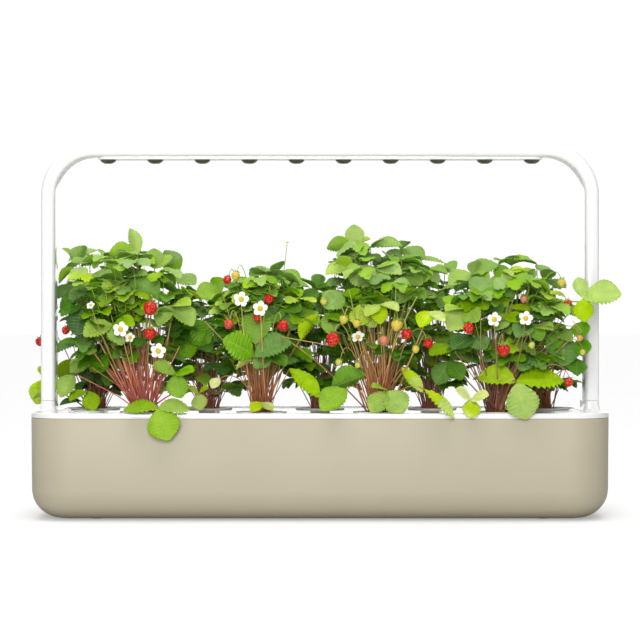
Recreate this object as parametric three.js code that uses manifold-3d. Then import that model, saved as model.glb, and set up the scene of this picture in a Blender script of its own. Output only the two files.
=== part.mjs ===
// Countertop hydroponic garden: a long water tank with a growing tray on top, nine planted cups in two
// staggered rows, and an arch lamp that stands in two sockets of the tray.
// Millimetres, +Z up. The origin is the middle of the footprint, on the surface that the feet stand on.
// +X runs along the tank, -Y is the front, where the user stands.
import * as THREE from "three";
import { mergeVertices } from "three/addons/utils/BufferGeometryUtils.js";
import Module from "manifold-3d";

const wasm = await Module();
wasm.setup();

// Clearances shared by pieces that seat in one another, and the overrun of every cut.
const SEAT_GAP = 0.3;
const SLIDE_GAP = 0.4;
const CUT_OVERRUN = 1;
const WELD_DISTANCE = 0.001;

// Tank: a moulded tub with a round lower edge.
const TANK_LENGTH = 600;
const TANK_DEPTH = 184;
const TANK_TOP = 105;
const TANK_CORNER_RADIUS = 45;
const TANK_BOTTOM_RADIUS = 30;
const TANK_WALL = 2.5;
const TANK_FLOOR = 3;
const TANK_DRAFT = 0.8;

// Feet: rubber discs let into the underside of the tank.
const FOOT_RADIUS = 9;
const FOOT_STAND = 1.2;
const FOOT_RECESS = 1.3;
const FOOT_EDGE_CHAMFER = 0.5;
const FOOT_END_BORDER = 68;
const FOOT_SIDE_BORDER = 48;

// Growing tray: the white lid with its skirt, cup seats and arm sockets.
const TRAY_RIM_HEIGHT = 5.5;
const TRAY_EDGE_ROUND = 1.8;
const TRAY_PLATE = 2.4;
const TRAY_PANEL_RECESS = 1.2;
const TRAY_PANEL_END_BORDER = 25;
const TRAY_PANEL_SIDE_BORDER = 6;
const TRAY_PANEL_CORNER = 30;
const TRAY_RIM_WIDTH = 9;
const TRAY_SKIRT_WALL = 2;
const TRAY_SKIRT_DROP = 8;
const TRAY_SKIRT_GAP = 0.6;
const VENT_RADIUS = 1.2;
const VENT_END_BORDER = 30;
const VENT_SIDE_BORDER = 43;

// Cups: nine baskets, alternating between the back and the front row.
const CUP_COUNT = 9;
const CUP_END_BORDER = 57;
const CUP_SIDE_BORDER = 47;
const CUP_TOP_RADIUS = 23;
const CUP_BOTTOM_RADIUS = 17;
const CUP_DEPTH = 50;
const CUP_WALL = 1.4;
const CUP_FLANGE_RADIUS = 26.5;
const CUP_FLANGE = 1;
const CUP_HOLE_RADIUS = 7;
const CUP_SLOTS = 3;
const CUP_SLOT_WIDTH = 5;
const CUP_SLOT_HEIGHT = 22;
const CUP_SLOT_RISE = 6;

// Soil plugs: one in each cup, with a wick that reaches out of the cup's floor.
const SOIL_DROP = 6;
const WICK_RADIUS = 6;
const WICK_REACH = 5;

// Filler well with the float that shows the water level.
const WELL_RADIUS = 16;
const WELL_WALL = 1.4;
const WELL_FLANGE_RADIUS = 19;
const WELL_BOTTOM = 38;
const WELL_FLOOR = 1.5;
const WELL_FLOOR_HOLE = 6;
const WELL_RIBS = 3;
const WELL_RIB_WIDTH = 1.6;
const WELL_SLOT_WIDTH = 5;
const WELL_SLOT_HEIGHT = 20;
const FLOAT_RADIUS = 9;
const FLOAT_LENGTH = 36;
const FLOAT_EDGE_ROUND = 2;

// Arch lamp: an oval channel bent into an arch, closed by a cover strip on its inner side.
const ARCH_TOP = 394;
const ARCH_END_INSET = 5;
const ARCH_THICKNESS = 15;
const ARCH_DEPTH = 32;
const ARCH_CORNER_RADIUS = 56;
const ARCH_ROUND_ACROSS = 6;
const ARCH_ROUND_DEEP = 8;
const ARCH_WALL = 2.5;
const COVER_THICKNESS = 2.2;
const COVER_WIDTH = 22;
const LAMP_BAND_PROUD = 3;
const LAMP_BAND_WIDTH = 20;

// Light sources: lenses in the cover and the board behind them.
const LENS_COUNT = 10;
const LENS_END_INSET = 70;
const LENS_END_BORDER = 11;
const LENS_RADIUS = 8.6;
const LENS_SAG = 4.2;
const LENS_FLANGE_RADIUS = 9.6;
const LENS_FLANGE = 1.2;
const BOARD_THICKNESS = 1.6;
const BOARD_WIDTH = 17;
const BOARD_RISE = 4.6;
const CHIP_SIZE = 4;
const CHIP_HEIGHT = 1;

// Arm plugs and the sockets that take them.
const COLLAR_HEIGHT = 10;
const COLLAR_FLARE = 3.6;
const SOCKET_DROP = 14;
const SOCKET_FLOOR = 2;
const PLUG_RISE = 14;
const PLUG_DROP = 21;
const PLUG_CORNER = 2;
const CONTACT_HEIGHT = 1.6;
const CONTACT_PIN_RADIUS = 1;
const CONTACT_PIN_PITCH = 8;
const CONTACT_PIN_HEIGHT = 0.8;
const LEAD_RADIUS = 2;

// Power inlet: a barrel socket in a boss behind the right collar.
const JACK_RADIUS = 5;
const JACK_LENGTH = 13;
const JACK_BORE_RADIUS = 3.2;
const JACK_BORE_DEPTH = 9;
const JACK_PIN_RADIUS = 1;
const JACK_PIN_LENGTH = 8;
const JACK_BOSS_WALL = 2.2;
const JACK_BOSS_DEPTH = 20;

// Plants: wild strawberry, a fan of stalks that each carry a leaf of three leaflets, and hanging berries.
const PLANT_TALLEST = 194;
const PLANT_SIDE_OVERHANG = 16;
const PLANT_END_OVERHANG = 22;
const PLANT_GAP = 0.8;
const PLANT_ARM_GAP = 4;
const PLANT_CROWN_RADIUS = 7;
const PLANT_CROWN_RISE = 14;
const STALK_RADIUS = 1.5;
const STALK_FOOT_SHARE = 0.6;
const LEAF_EDGE_SHARE = 0.7;
const LEAFLET_LENGTH = 44;
const LEAFLET_WIDTH = 40;
const LEAF_THICKNESS = 3.2;
const BERRY_RADIUS = 6;
const BERRY_LENGTH = 14;
const PLANT_HEIGHT_SHARES = [0.9, 0.98, 0.72, 0.82, 0.93, 1, 0.86, 0.82, 0.8];
const STALK_HEIGHT_SHARES = [0.2, 0.88, 0.56, 0.985, 0.74, 0.5];
const STALK_REACH_SHARES = [1, 0.8, 1, 0.3, 0.9, 1];
const LEAF_DROOP_SHARES = [0.4, 0.2, 0.35, 0.1, 0.25, 0.4];
const BERRY_TURN_SHARE = 0.5;
const BERRY_HEIGHT_SHARE = 0.5;
const LEAFLET_OUTLINE_SHARES = [[0.3, -0.34], [0.72, -0.46], [1, 0], [0.72, 0.46], [0.3, 0.34]];
const LEAFLET_NOTCH_SHARE = 0.12;
const LEAFLET_SPREAD = 1.8;
const BERRY_PROFILE_SHARES = [[0, -1], [0.9, -0.65], [0.9, -0.25], [0, 0]];

// Places that follow from the sizes above.
const HALF_LENGTH = TANK_LENGTH / 2;
const HALF_DEPTH = TANK_DEPTH / 2;
const FOOT_X = HALF_LENGTH - FOOT_END_BORDER;
const FOOT_Y = HALF_DEPTH - FOOT_SIDE_BORDER;
const TRAY_SEAT = TANK_TOP + SEAT_GAP;
const TRAY_TOP = TRAY_SEAT + TRAY_RIM_HEIGHT;
const PANEL_TOP = TRAY_TOP - TRAY_PANEL_RECESS;
const CUP_SEAT = PANEL_TOP + SEAT_GAP;
const COLLAR_TOP = TRAY_TOP + COLLAR_HEIGHT;
const CUP_PITCH = (TANK_LENGTH - 2 * CUP_END_BORDER) / (CUP_COUNT - 1);
const CUP_ROW_Y = HALF_DEPTH - CUP_SIDE_BORDER;
const WELL_X = CUP_END_BORDER - HALF_LENGTH;
const VENT_X = HALF_LENGTH - VENT_END_BORDER;
const VENT_Y = HALF_DEPTH - VENT_SIDE_BORDER;
const ARCH_HALF_WIDTH = HALF_LENGTH - ARCH_END_INSET;
const ARM_X = ARCH_HALF_WIDTH - ARCH_THICKNESS / 2;
const ARM_BOTTOM = COLLAR_TOP + SEAT_GAP;
const BAR_UNDERSIDE = ARCH_TOP - ARCH_THICKNESS;
const BAND_UNDERSIDE = BAR_UNDERSIDE - LAMP_BAND_PROUD;
const COVER_BACK = BAR_UNDERSIDE + COVER_THICKNESS;
const CHANNEL_WIDTH = COVER_WIDTH + SLIDE_GAP;
const PLUG_THICKNESS = ARCH_THICKNESS - ARCH_WALL - COVER_THICKNESS - 2 * SEAT_GAP;
const PLUG_X = ARCH_HALF_WIDTH - ARCH_WALL - SEAT_GAP - PLUG_THICKNESS / 2;
const PLUG_WIDTH = COVER_WIDTH - SLIDE_GAP;
const LENS_PITCH = (2 * (ARCH_HALF_WIDTH - LENS_END_INSET)) / (LENS_COUNT - 1);
const LAMP_BAND_HALF_LENGTH = ((LENS_COUNT - 1) / 2) * LENS_PITCH + LENS_END_BORDER;
const PLANT_END_REACH = HALF_LENGTH + PLANT_END_OVERHANG;
const PLANT_SIDE_REACH = HALF_DEPTH + PLANT_SIDE_OVERHANG;

const ROUND_STEPS = 12;
const CORNER_STEPS = 6;

// The look of each material; every piece gets a material of its own from one of them.
const WHITE_PLASTIC = { color: 0xf2f2f0, roughness: 0.3 };
const BEIGE_PLASTIC = { color: 0xbfb59a, roughness: 0.4 };
const DARK_RUBBER = { color: 0x2b2a28, roughness: 0.9 };
const LENS_PLASTIC = { color: 0x3a3833, roughness: 0.2 };
const BOARD_LAMINATE = { color: 0xe6e8e6, roughness: 0.5 };
const CONTACT_METAL = { color: 0xc9a24a, roughness: 0.3, metalness: 1 };
const SOIL_BROWN = { color: 0x4a3424, roughness: 1 };
const LEAF_GREEN = { color: 0x5d8f25, roughness: 0.6 };
const FLOAT_FOAM = { color: 0xe9ebe4, roughness: 0.5 };

// Solids and booleans

// A closed geometry as a solid that can be joined or cut.
function solidOf(geometry) {
  const bare = geometry.index ? geometry.toNonIndexed() : geometry.clone();
  const points = new THREE.BufferGeometry().setAttribute("position", bare.getAttribute("position"));
  const merged = mergeVertices(points, WELD_DISTANCE);
  return new wasm.Manifold(
    new wasm.Mesh({
      numProp: 3,
      vertProperties: new Float32Array(merged.attributes.position.array),
      triVerts: new Uint32Array(merged.index.array),
    }),
  );
}

// A solid back as a geometry for a mesh.
function geometryOf(solid) {
  const mesh = solid.getMesh();
  const places = new Float32Array(mesh.numVert * 3);
  for (let i = 0; i < mesh.numVert; i++) {
    const at = i * mesh.numProp;
    places.set(mesh.vertProperties.subarray(at, at + 3), i * 3);
  }
  const geometry = new THREE.BufferGeometry();
  geometry.setAttribute("position", new THREE.BufferAttribute(places, 3));
  geometry.setIndex(new THREE.BufferAttribute(new Uint32Array(mesh.triVerts), 1));
  geometry.computeVertexNormals();
  return geometry;
}

// Shapes

// The points of a rectangle with round corners, as a ring at height z.
function roundedRing(halfX, halfY, radius, z, steps = CORNER_STEPS) {
  const ring = [];
  const corners = [
    [1, 1, 0],
    [-1, 1, Math.PI / 2],
    [-1, -1, Math.PI],
    [1, -1, (3 * Math.PI) / 2],
  ];
  for (const [sideX, sideY, start] of corners) {
    for (let i = 0; i <= steps; i++) {
      const angle = start + ((Math.PI / 2) * i) / steps;
      const x = sideX * (halfX - radius) + radius * Math.cos(angle);
      const y = sideY * (halfY - radius) + radius * Math.sin(angle);
      ring.push(new THREE.Vector3(x, y, z));
    }
  }
  return ring;
}

// A closed skin over rings of equal length, given from the bottom up, with both ends capped.
function loft(rings) {
  const count = rings[0].length;
  const places = rings.flat().flatMap((p) => [p.x, p.y, p.z]);
  const faces = [];
  for (let level = 0; level < rings.length - 1; level++) {
    for (let i = 0; i < count; i++) {
      const a = level * count + i;
      const b = level * count + ((i + 1) % count);
      faces.push(a, b, b + count, a, b + count, a + count);
    }
  }
  const flat = rings[0].map((p) => new THREE.Vector2(p.x, p.y));
  const top = (rings.length - 1) * count;
  for (const [a, b, c] of THREE.ShapeUtils.triangulateShape(flat, [])) {
    faces.push(c, b, a, top + a, top + b, top + c);
  }
  const geometry = new THREE.BufferGeometry();
  geometry.setAttribute("position", new THREE.Float32BufferAttribute(places, 3));
  geometry.setIndex(faces);
  return geometry;
}

// An upright prism with round corners between two heights.
function roundedBlock(halfX, halfY, radius, bottom, top, steps = CORNER_STEPS) {
  return loft([
    roundedRing(halfX, halfY, radius, bottom, steps),
    roundedRing(halfX, halfY, radius, top, steps),
  ]);
}

// A revolve about the Z axis: the profile runs from the axis at the bottom to the axis at the top.
function revolve(profile, steps = ROUND_STEPS) {
  const points = profile.map(([radius, z]) => new THREE.Vector2(radius, z));
  return new THREE.LatheGeometry(points, steps).rotateX(Math.PI / 2);
}

function uprightCylinder(radius, bottom, top, steps = ROUND_STEPS) {
  return new THREE.CylinderGeometry(radius, radius, top - bottom, steps)
    .rotateX(Math.PI / 2)
    .translate(0, 0, (bottom + top) / 2);
}

function block(sizeX, sizeY, bottom, top) {
  return new THREE.BoxGeometry(sizeX, sizeY, top - bottom).translate(0, 0, (bottom + top) / 2);
}

// Meshes

const garden = new THREE.Group();

function addPiece(name, geometry, look, parent = garden) {
  const mesh = new THREE.Mesh(geometry, new THREE.MeshStandardMaterial(look));
  mesh.name = name;
  parent.add(mesh);
  return mesh;
}

// Tank

// The rings of the tub, drawn in by an inset all round and rounded along the bottom edge.
function tubRings(inset, bottom, top) {
  const radius = TANK_BOTTOM_RADIUS - inset;
  const rings = [];
  const steps = 4;
  for (let i = 0; i <= steps; i++) {
    const angle = ((Math.PI / 2) * i) / steps;
    const height = bottom + radius * (1 - Math.cos(angle));
    const drawnIn = radius * (1 - Math.sin(angle)) + TANK_DRAFT * (1 - height / TANK_TOP);
    rings.push(ringAt(inset + drawnIn, height));
  }
  rings.push(ringAt(inset, top));
  return rings;
}

function ringAt(inset, z) {
  return roundedRing(HALF_LENGTH - inset, HALF_DEPTH - inset, TANK_CORNER_RADIUS - inset, z);
}

function makeTank() {
  let tub = solidOf(loft(tubRings(0, FOOT_STAND, TANK_TOP)));
  const hollow = loft(tubRings(TANK_WALL, FOOT_STAND + TANK_FLOOR, TANK_TOP + CUT_OVERRUN));
  tub = tub.subtract(solidOf(hollow));
  const recessTop = FOOT_STAND + FOOT_RECESS;
  for (const sideX of [-1, 1]) {
    for (const sideY of [-1, 1]) {
      const recess = uprightCylinder(FOOT_RADIUS + SLIDE_GAP, -CUT_OVERRUN, recessTop);
      tub = tub.subtract(solidOf(recess.translate(sideX * FOOT_X, sideY * FOOT_Y, 0)));
    }
  }
  return geometryOf(tub);
}

function makeFoot() {
  const top = FOOT_STAND + FOOT_RECESS - SEAT_GAP;
  return revolve([
    [0, 0],
    [FOOT_RADIUS - FOOT_EDGE_CHAMFER, 0],
    [FOOT_RADIUS, FOOT_EDGE_CHAMFER],
    [FOOT_RADIUS, top],
    [0, top],
  ]);
}

addPiece("water_tank", makeTank(), BEIGE_PLASTIC);
for (const [side, sideX] of [["left", -1], ["right", 1]]) {
  for (const [row, sideY] of [["front", -1], ["back", 1]]) {
    const foot = addPiece(`foot_${row}_${side}`, makeFoot(), DARK_RUBBER);
    foot.position.set(sideX * FOOT_X, sideY * FOOT_Y, 0);
  }
}

// Growing tray

const tray = new THREE.Group();
garden.add(tray);

// Where cup number i stands: odd cups in the back row, even cups in the front row.
function cupPlace(i) {
  const fromMiddle = i - (CUP_COUNT - 1) / 2;
  return new THREE.Vector3(fromMiddle * CUP_PITCH, i % 2 === 0 ? CUP_ROW_Y : -CUP_ROW_Y, 0);
}

// The flared collar that an arm of the lamp stands on: a concave sweep from the rim to the arm's outline.
function collarRings() {
  const steps = 4;
  const rings = [];
  const bottom = TRAY_TOP - TRAY_EDGE_ROUND;
  for (let i = 0; i <= steps; i++) {
    const rise = i / steps;
    const flare = COLLAR_FLARE * (1 - Math.sqrt(1 - (1 - rise) ** 2));
    const z = bottom + (COLLAR_TOP - bottom) * rise;
    rings.push(armRing(flare, z));
  }
  return rings;
}

// The outline of an arm, grown by an amount all round.
function armRing(grow, z) {
  const halfX = ARCH_THICKNESS / 2 + grow;
  const halfY = ARCH_DEPTH / 2 + grow;
  return roundedRing(halfX, halfY, ARCH_ROUND_ACROSS + grow, z, 3);
}

function makeTray() {
  const edge = TRAY_EDGE_ROUND;
  const slab = loft([
    ringAt(0, TRAY_SEAT),
    ringAt(0, TRAY_TOP - edge),
    ringAt(edge * (1 - Math.SQRT1_2), TRAY_TOP - edge * (1 - Math.SQRT1_2)),
    ringAt(edge, TRAY_TOP),
  ]);
  let body = solidOf(slab);
  const panel = roundedBlock(
    HALF_LENGTH - TRAY_PANEL_END_BORDER,
    HALF_DEPTH - TRAY_PANEL_SIDE_BORDER,
    TRAY_PANEL_CORNER,
    PANEL_TOP,
    TRAY_TOP + CUT_OVERRUN,
  );
  body = body.subtract(solidOf(panel));
  const pocket = loft([
    ringAt(TRAY_RIM_WIDTH, TRAY_SEAT - CUT_OVERRUN),
    ringAt(TRAY_RIM_WIDTH, PANEL_TOP - TRAY_PLATE),
  ]);
  body = body.subtract(solidOf(pocket));

  const skirtOuter = TANK_WALL + TRAY_SKIRT_GAP;
  const skirtTop = TRAY_SEAT + CUT_OVERRUN;
  const skirt = solidOf(loft([
    ringAt(skirtOuter, TRAY_SEAT - TRAY_SKIRT_DROP),
    ringAt(skirtOuter, skirtTop),
  ]));
  const skirtHollow = solidOf(loft([
    ringAt(skirtOuter + TRAY_SKIRT_WALL, TRAY_SEAT - TRAY_SKIRT_DROP - CUT_OVERRUN),
    ringAt(skirtOuter + TRAY_SKIRT_WALL, skirtTop + CUT_OVERRUN),
  ]));
  body = body.add(skirt.subtract(skirtHollow));

  const sleeveBottom = TRAY_SEAT - SOCKET_DROP;
  for (const side of [-1, 1]) {
    const collar = loft([armRing(0, sleeveBottom), armRing(0, TRAY_SEAT), ...collarRings()]);
    body = body.add(solidOf(collar.translate(side * ARM_X, 0, 0)));
  }
  const bossHalf = JACK_RADIUS + JACK_BOSS_WALL;
  const bossY = ARCH_DEPTH / 2 + JACK_BOSS_DEPTH / 2 - CUT_OVERRUN;
  const boss = roundedBlock(bossHalf, JACK_BOSS_DEPTH / 2, PLUG_CORNER, TRAY_SEAT, COLLAR_TOP, 3);
  body = body.add(solidOf(boss.translate(ARM_X, bossY, 0)));

  for (const side of [-1, 1]) {
    const socket = roundedBlock(
      PLUG_THICKNESS / 2 + SEAT_GAP,
      PLUG_WIDTH / 2 + SEAT_GAP,
      PLUG_CORNER,
      sleeveBottom + SOCKET_FLOOR,
      COLLAR_TOP + CUT_OVERRUN,
      3,
    );
    body = body.subtract(solidOf(socket.translate(side * PLUG_X, 0, 0)));
  }
  const jackHole = uprightCylinder(JACK_RADIUS + SEAT_GAP, -JACK_LENGTH - SEAT_GAP, CUT_OVERRUN);
  jackHole.rotateX(-Math.PI / 2).translate(ARM_X, jackPlace().y, jackPlace().z);
  body = body.subtract(solidOf(jackHole));

  for (let i = 0; i < CUP_COUNT; i++) {
    body = body.subtract(seatCut(CUP_TOP_RADIUS, cupPlace(i)));
  }
  body = body.subtract(seatCut(WELL_RADIUS, wellPlace()));
  const vent = uprightCylinder(VENT_RADIUS, TRAY_SEAT - CUT_OVERRUN, TRAY_TOP + CUT_OVERRUN, 8);
  body = body.subtract(solidOf(vent.translate(VENT_X, VENT_Y, 0)));
  return geometryOf(body);
}

// The hole in which a flanged cup hangs.
function seatCut(radius, place) {
  const hole = uprightCylinder(radius + SLIDE_GAP, TRAY_SEAT - SOCKET_DROP, TRAY_TOP + CUT_OVERRUN);
  return solidOf(hole.translate(place.x, place.y, 0));
}

function wellPlace() {
  return new THREE.Vector3(WELL_X, -CUP_ROW_Y, 0);
}

// The mouth of the power inlet, flush with the back of its boss.
function jackPlace() {
  const backFace = ARCH_DEPTH / 2 + JACK_BOSS_DEPTH - CUT_OVERRUN;
  const height = (TRAY_SEAT + COLLAR_TOP) / 2;
  return new THREE.Vector3(ARM_X, backFace, height);
}

// A barrel socket with its centre pin, mouth at z = 0 and body below it.
function makeJack() {
  const bore = -JACK_BORE_DEPTH;
  return revolve(
    [
      [0, -JACK_LENGTH],
      [JACK_RADIUS, -JACK_LENGTH],
      [JACK_RADIUS, 0],
      [JACK_BORE_RADIUS, 0],
      [JACK_BORE_RADIUS, bore],
      [JACK_PIN_RADIUS, bore],
      [JACK_PIN_RADIUS, bore + JACK_PIN_LENGTH],
      [0, bore + JACK_PIN_LENGTH],
    ],
    12,
  );
}

// The contact block at the bottom of the right socket, with two spring pins.
function makeContact() {
  const bottom = TRAY_SEAT - SOCKET_DROP + SOCKET_FLOOR + SEAT_GAP;
  const plate = [PLUG_THICKNESS / 2, PLUG_WIDTH / 2, PLUG_CORNER, bottom, bottom + CONTACT_HEIGHT];
  let body = solidOf(roundedBlock(...plate, 3));
  const pinTop = bottom + CONTACT_HEIGHT + CONTACT_PIN_HEIGHT;
  for (const side of [-1, 1]) {
    const pin = uprightCylinder(CONTACT_PIN_RADIUS, bottom + CONTACT_HEIGHT / 2, pinTop, 8);
    body = body.add(solidOf(pin.translate(0, (side * CONTACT_PIN_PITCH) / 2, 0)));
  }
  return geometryOf(body);
}

addPiece("growing_tray", makeTray(), WHITE_PLASTIC, tray);
const jack = addPiece("power_jack", makeJack(), DARK_RUBBER, tray);
jack.rotation.x = -Math.PI / 2;
jack.position.copy(jackPlace());
addPiece("socket_contact", makeContact(), CONTACT_METAL, tray).position.x = PLUG_X;

// Filler well and float

function makeWell() {
  const inner = WELL_RADIUS - WELL_WALL;
  const floorTop = WELL_BOTTOM + WELL_FLOOR;
  const tube = new THREE.LatheGeometry(
    [
      new THREE.Vector2(WELL_FLOOR_HOLE, WELL_BOTTOM),
      new THREE.Vector2(WELL_RADIUS, WELL_BOTTOM),
      new THREE.Vector2(WELL_RADIUS, CUP_SEAT),
      new THREE.Vector2(WELL_FLANGE_RADIUS, CUP_SEAT),
      new THREE.Vector2(WELL_FLANGE_RADIUS, CUP_SEAT + CUP_FLANGE),
      new THREE.Vector2(inner, CUP_SEAT + CUP_FLANGE),
      new THREE.Vector2(inner, floorTop),
      new THREE.Vector2(WELL_FLOOR_HOLE, floorTop),
      new THREE.Vector2(WELL_FLOOR_HOLE, WELL_BOTTOM),
    ],
    ROUND_STEPS,
  ).rotateX(Math.PI / 2);
  let well = solidOf(tube);
  const ribInner = FLOAT_RADIUS + SLIDE_GAP;
  const ribOuter = inner + WELL_WALL / 2;
  for (let i = 0; i < WELL_RIBS; i++) {
    const turn = (2 * Math.PI * i) / WELL_RIBS;
    const rib = block(ribOuter - ribInner, WELL_RIB_WIDTH, floorTop - WELL_FLOOR / 2, CUP_SEAT);
    rib.translate((ribInner + ribOuter) / 2, 0, 0).rotateZ(turn);
    well = well.add(solidOf(rib));
    const slotBottom = floorTop + WELL_FLOOR;
    const slot = block(WELL_RADIUS, WELL_SLOT_WIDTH, slotBottom, slotBottom + WELL_SLOT_HEIGHT);
    slot.translate(ribInner + WELL_RADIUS / 2, 0, 0).rotateZ(turn + Math.PI / WELL_RIBS);
    well = well.subtract(solidOf(slot));
  }
  return geometryOf(well);
}

function makeFloat() {
  const bottom = WELL_BOTTOM + WELL_FLOOR + SEAT_GAP;
  const top = bottom + FLOAT_LENGTH;
  return revolve(
    [
      [0, bottom],
      [FLOAT_RADIUS - FLOAT_EDGE_ROUND, bottom],
      [FLOAT_RADIUS, bottom + FLOAT_EDGE_ROUND],
      [FLOAT_RADIUS, top - FLOAT_EDGE_ROUND],
      [FLOAT_RADIUS - FLOAT_EDGE_ROUND, top],
      [0, top],
    ],
    12,
  );
}

addPiece("filler_well", makeWell(), WHITE_PLASTIC, tray).position.copy(wellPlace());
addPiece("water_float", makeFloat(), FLOAT_FOAM, tray).position.copy(wellPlace());

// Cups and soil plugs

// The cup's outer radius at a depth below its flange.
function cupRadius(depth) {
  return CUP_TOP_RADIUS + ((CUP_BOTTOM_RADIUS - CUP_TOP_RADIUS) * depth) / CUP_DEPTH;
}

function makeCup() {
  const bottom = CUP_SEAT - CUP_DEPTH;
  const floorTop = bottom + CUP_WALL;
  const shell = new THREE.LatheGeometry(
    [
      new THREE.Vector2(CUP_HOLE_RADIUS, bottom),
      new THREE.Vector2(CUP_BOTTOM_RADIUS, bottom),
      new THREE.Vector2(CUP_TOP_RADIUS, CUP_SEAT),
      new THREE.Vector2(CUP_FLANGE_RADIUS, CUP_SEAT),
      new THREE.Vector2(CUP_FLANGE_RADIUS, CUP_SEAT + CUP_FLANGE),
      new THREE.Vector2(CUP_TOP_RADIUS - CUP_WALL, CUP_SEAT + CUP_FLANGE),
      new THREE.Vector2(CUP_BOTTOM_RADIUS - CUP_WALL, floorTop),
      new THREE.Vector2(CUP_HOLE_RADIUS, floorTop),
      new THREE.Vector2(CUP_HOLE_RADIUS, bottom),
    ],
    ROUND_STEPS,
  ).rotateX(Math.PI / 2);
  let cup = solidOf(shell);
  const slotBottom = floorTop + CUP_SLOT_RISE;
  for (let i = 0; i < CUP_SLOTS; i++) {
    const slot = block(CUP_TOP_RADIUS, CUP_SLOT_WIDTH, slotBottom, slotBottom + CUP_SLOT_HEIGHT);
    slot.translate(CUP_BOTTOM_RADIUS - CUP_SLOT_WIDTH + CUP_TOP_RADIUS / 2, 0, 0);
    cup = cup.subtract(solidOf(slot.rotateZ((2 * Math.PI * i) / CUP_SLOTS)));
  }
  return geometryOf(cup);
}

function makeSoil() {
  const floorTop = CUP_SEAT - CUP_DEPTH + CUP_WALL;
  const bottom = floorTop + SEAT_GAP;
  const top = CUP_SEAT - SOIL_DROP;
  const inside = CUP_WALL + SEAT_GAP;
  return revolve([
    [0, CUP_SEAT - CUP_DEPTH - WICK_REACH],
    [WICK_RADIUS, CUP_SEAT - CUP_DEPTH - WICK_REACH],
    [WICK_RADIUS, bottom],
    [cupRadius(CUP_DEPTH - CUP_WALL) - inside, bottom],
    [cupRadius(SOIL_DROP) - inside, top],
    [0, top],
  ]);
}

// Plants

// The share of the tray that a plant keeps to, so that one can be lifted past the next. It is a list of
// half-planes: a place is inside while normal . place stays within each limit.
function plantCell(i) {
  const home = cupPlace(i);
  const cell = [];
  const keepWithin = (x, y, limit) => cell.push({ normal: new THREE.Vector3(x, y, 0), limit });
  for (let other = 0; other < CUP_COUNT; other++) {
    const away = cupPlace(other).sub(home);
    if (other !== i) {
      const middle = home.clone().addScaledVector(away, 1 / 2);
      away.normalize();
      keepWithin(away.x, away.y, away.dot(middle) - PLANT_GAP);
    }
  }
  const row = Math.sign(home.y);
  keepWithin(0, row, PLANT_SIDE_REACH);
  const armInside = ARCH_HALF_WIDTH - ARCH_THICKNESS - PLANT_ARM_GAP;
  for (const side of [-1, 1]) {
    keepWithin(side, 0, PLANT_END_REACH);
    const armEdge = (armInside - ARCH_DEPTH / 2) * Math.SQRT1_2;
    keepWithin(side * Math.SQRT1_2, -row * Math.SQRT1_2, armEdge);
  }
  return cell;
}

// How far a ray from a place runs before it comes within a margin of the cell's edge.
function reachIn(cell, place, direction, margin = 0) {
  let reach = Infinity;
  for (const { normal, limit } of cell) {
    const rate = normal.dot(direction);
    if (rate > 0) reach = Math.min(reach, (limit - margin - normal.dot(place)) / rate);
  }
  return reach;
}

// A leaf of three leaflets on its stalk's end: flat below, thickest over the stalk and thin along its rim,
// and drawn small enough to stay in its plant's cell.
function leafGeometry(cell, end, heading, droop) {
  const rim = [];
  for (const side of [-1, 0, 1]) {
    const turn = side * LEAFLET_SPREAD;
    for (const [along, across] of LEAFLET_OUTLINE_SHARES) {
      rim.push(leafPoint(turn, along * LEAFLET_LENGTH, across * LEAFLET_WIDTH));
    }
    const notchTurn = side === 1 ? Math.PI : turn + LEAFLET_SPREAD / 2;
    rim.push(leafPoint(notchTurn, LEAFLET_NOTCH_SHARE * LEAFLET_LENGTH, 0));
  }
  const flat = rim.map((point) => new THREE.Vector2(point.x, point.y));
  const faces = THREE.ShapeUtils.triangulateShape(flat, []).flatMap(([a, b, c]) => [c, b, a]);
  for (let i = 0; i < rim.length; i++) {
    faces.push(rim.length, i, (i + 1) % rim.length);
  }

  const along = heading.clone().setZ(-droop).normalize();
  const across = new THREE.Vector3(0, 0, 1).cross(along).normalize();
  const turned = new THREE.Matrix4().makeBasis(along, across, along.clone().cross(across));
  const points = [...rim, new THREE.Vector3(0, 0, LEAF_THICKNESS)].map((point) => point.applyMatrix4(turned));
  let size = 1;
  for (const point of points) {
    size = Math.min(size, reachIn(cell, end, new THREE.Vector3(point.x, point.y, 0)));
  }
  const geometry = new THREE.BufferGeometry();
  const places = points.flatMap((point) => point.multiplyScalar(size).add(end).toArray());
  geometry.setAttribute("position", new THREE.Float32BufferAttribute(places, 3));
  geometry.setIndex(faces);
  return geometry;
}

// A point of a leaf's rim: along and across one of its three leaflets, which is turned about the stalk.
function leafPoint(turn, along, across) {
  return new THREE.Vector3(along, across, 0).applyAxisAngle(new THREE.Vector3(0, 0, 1), turn);
}

// A stalk that leaves the crown steeply and bends out to a place.
function stalkGeometry(foot, end) {
  const bend = new THREE.Vector3(foot.x, foot.y, end.z).lerp(end, 1 / 3);
  const path = new THREE.QuadraticBezierCurve3(foot, bend, end);
  const halfSide = STALK_RADIUS * Math.cos(Math.PI / 6);
  const section = new THREE.Shape();
  section.moveTo(STALK_RADIUS, 0);
  section.lineTo(-STALK_RADIUS / 2, halfSide);
  section.lineTo(-STALK_RADIUS / 2, -halfSide);
  section.closePath();
  return new THREE.ExtrudeGeometry(section, { steps: 3, extrudePath: path });
}

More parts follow.
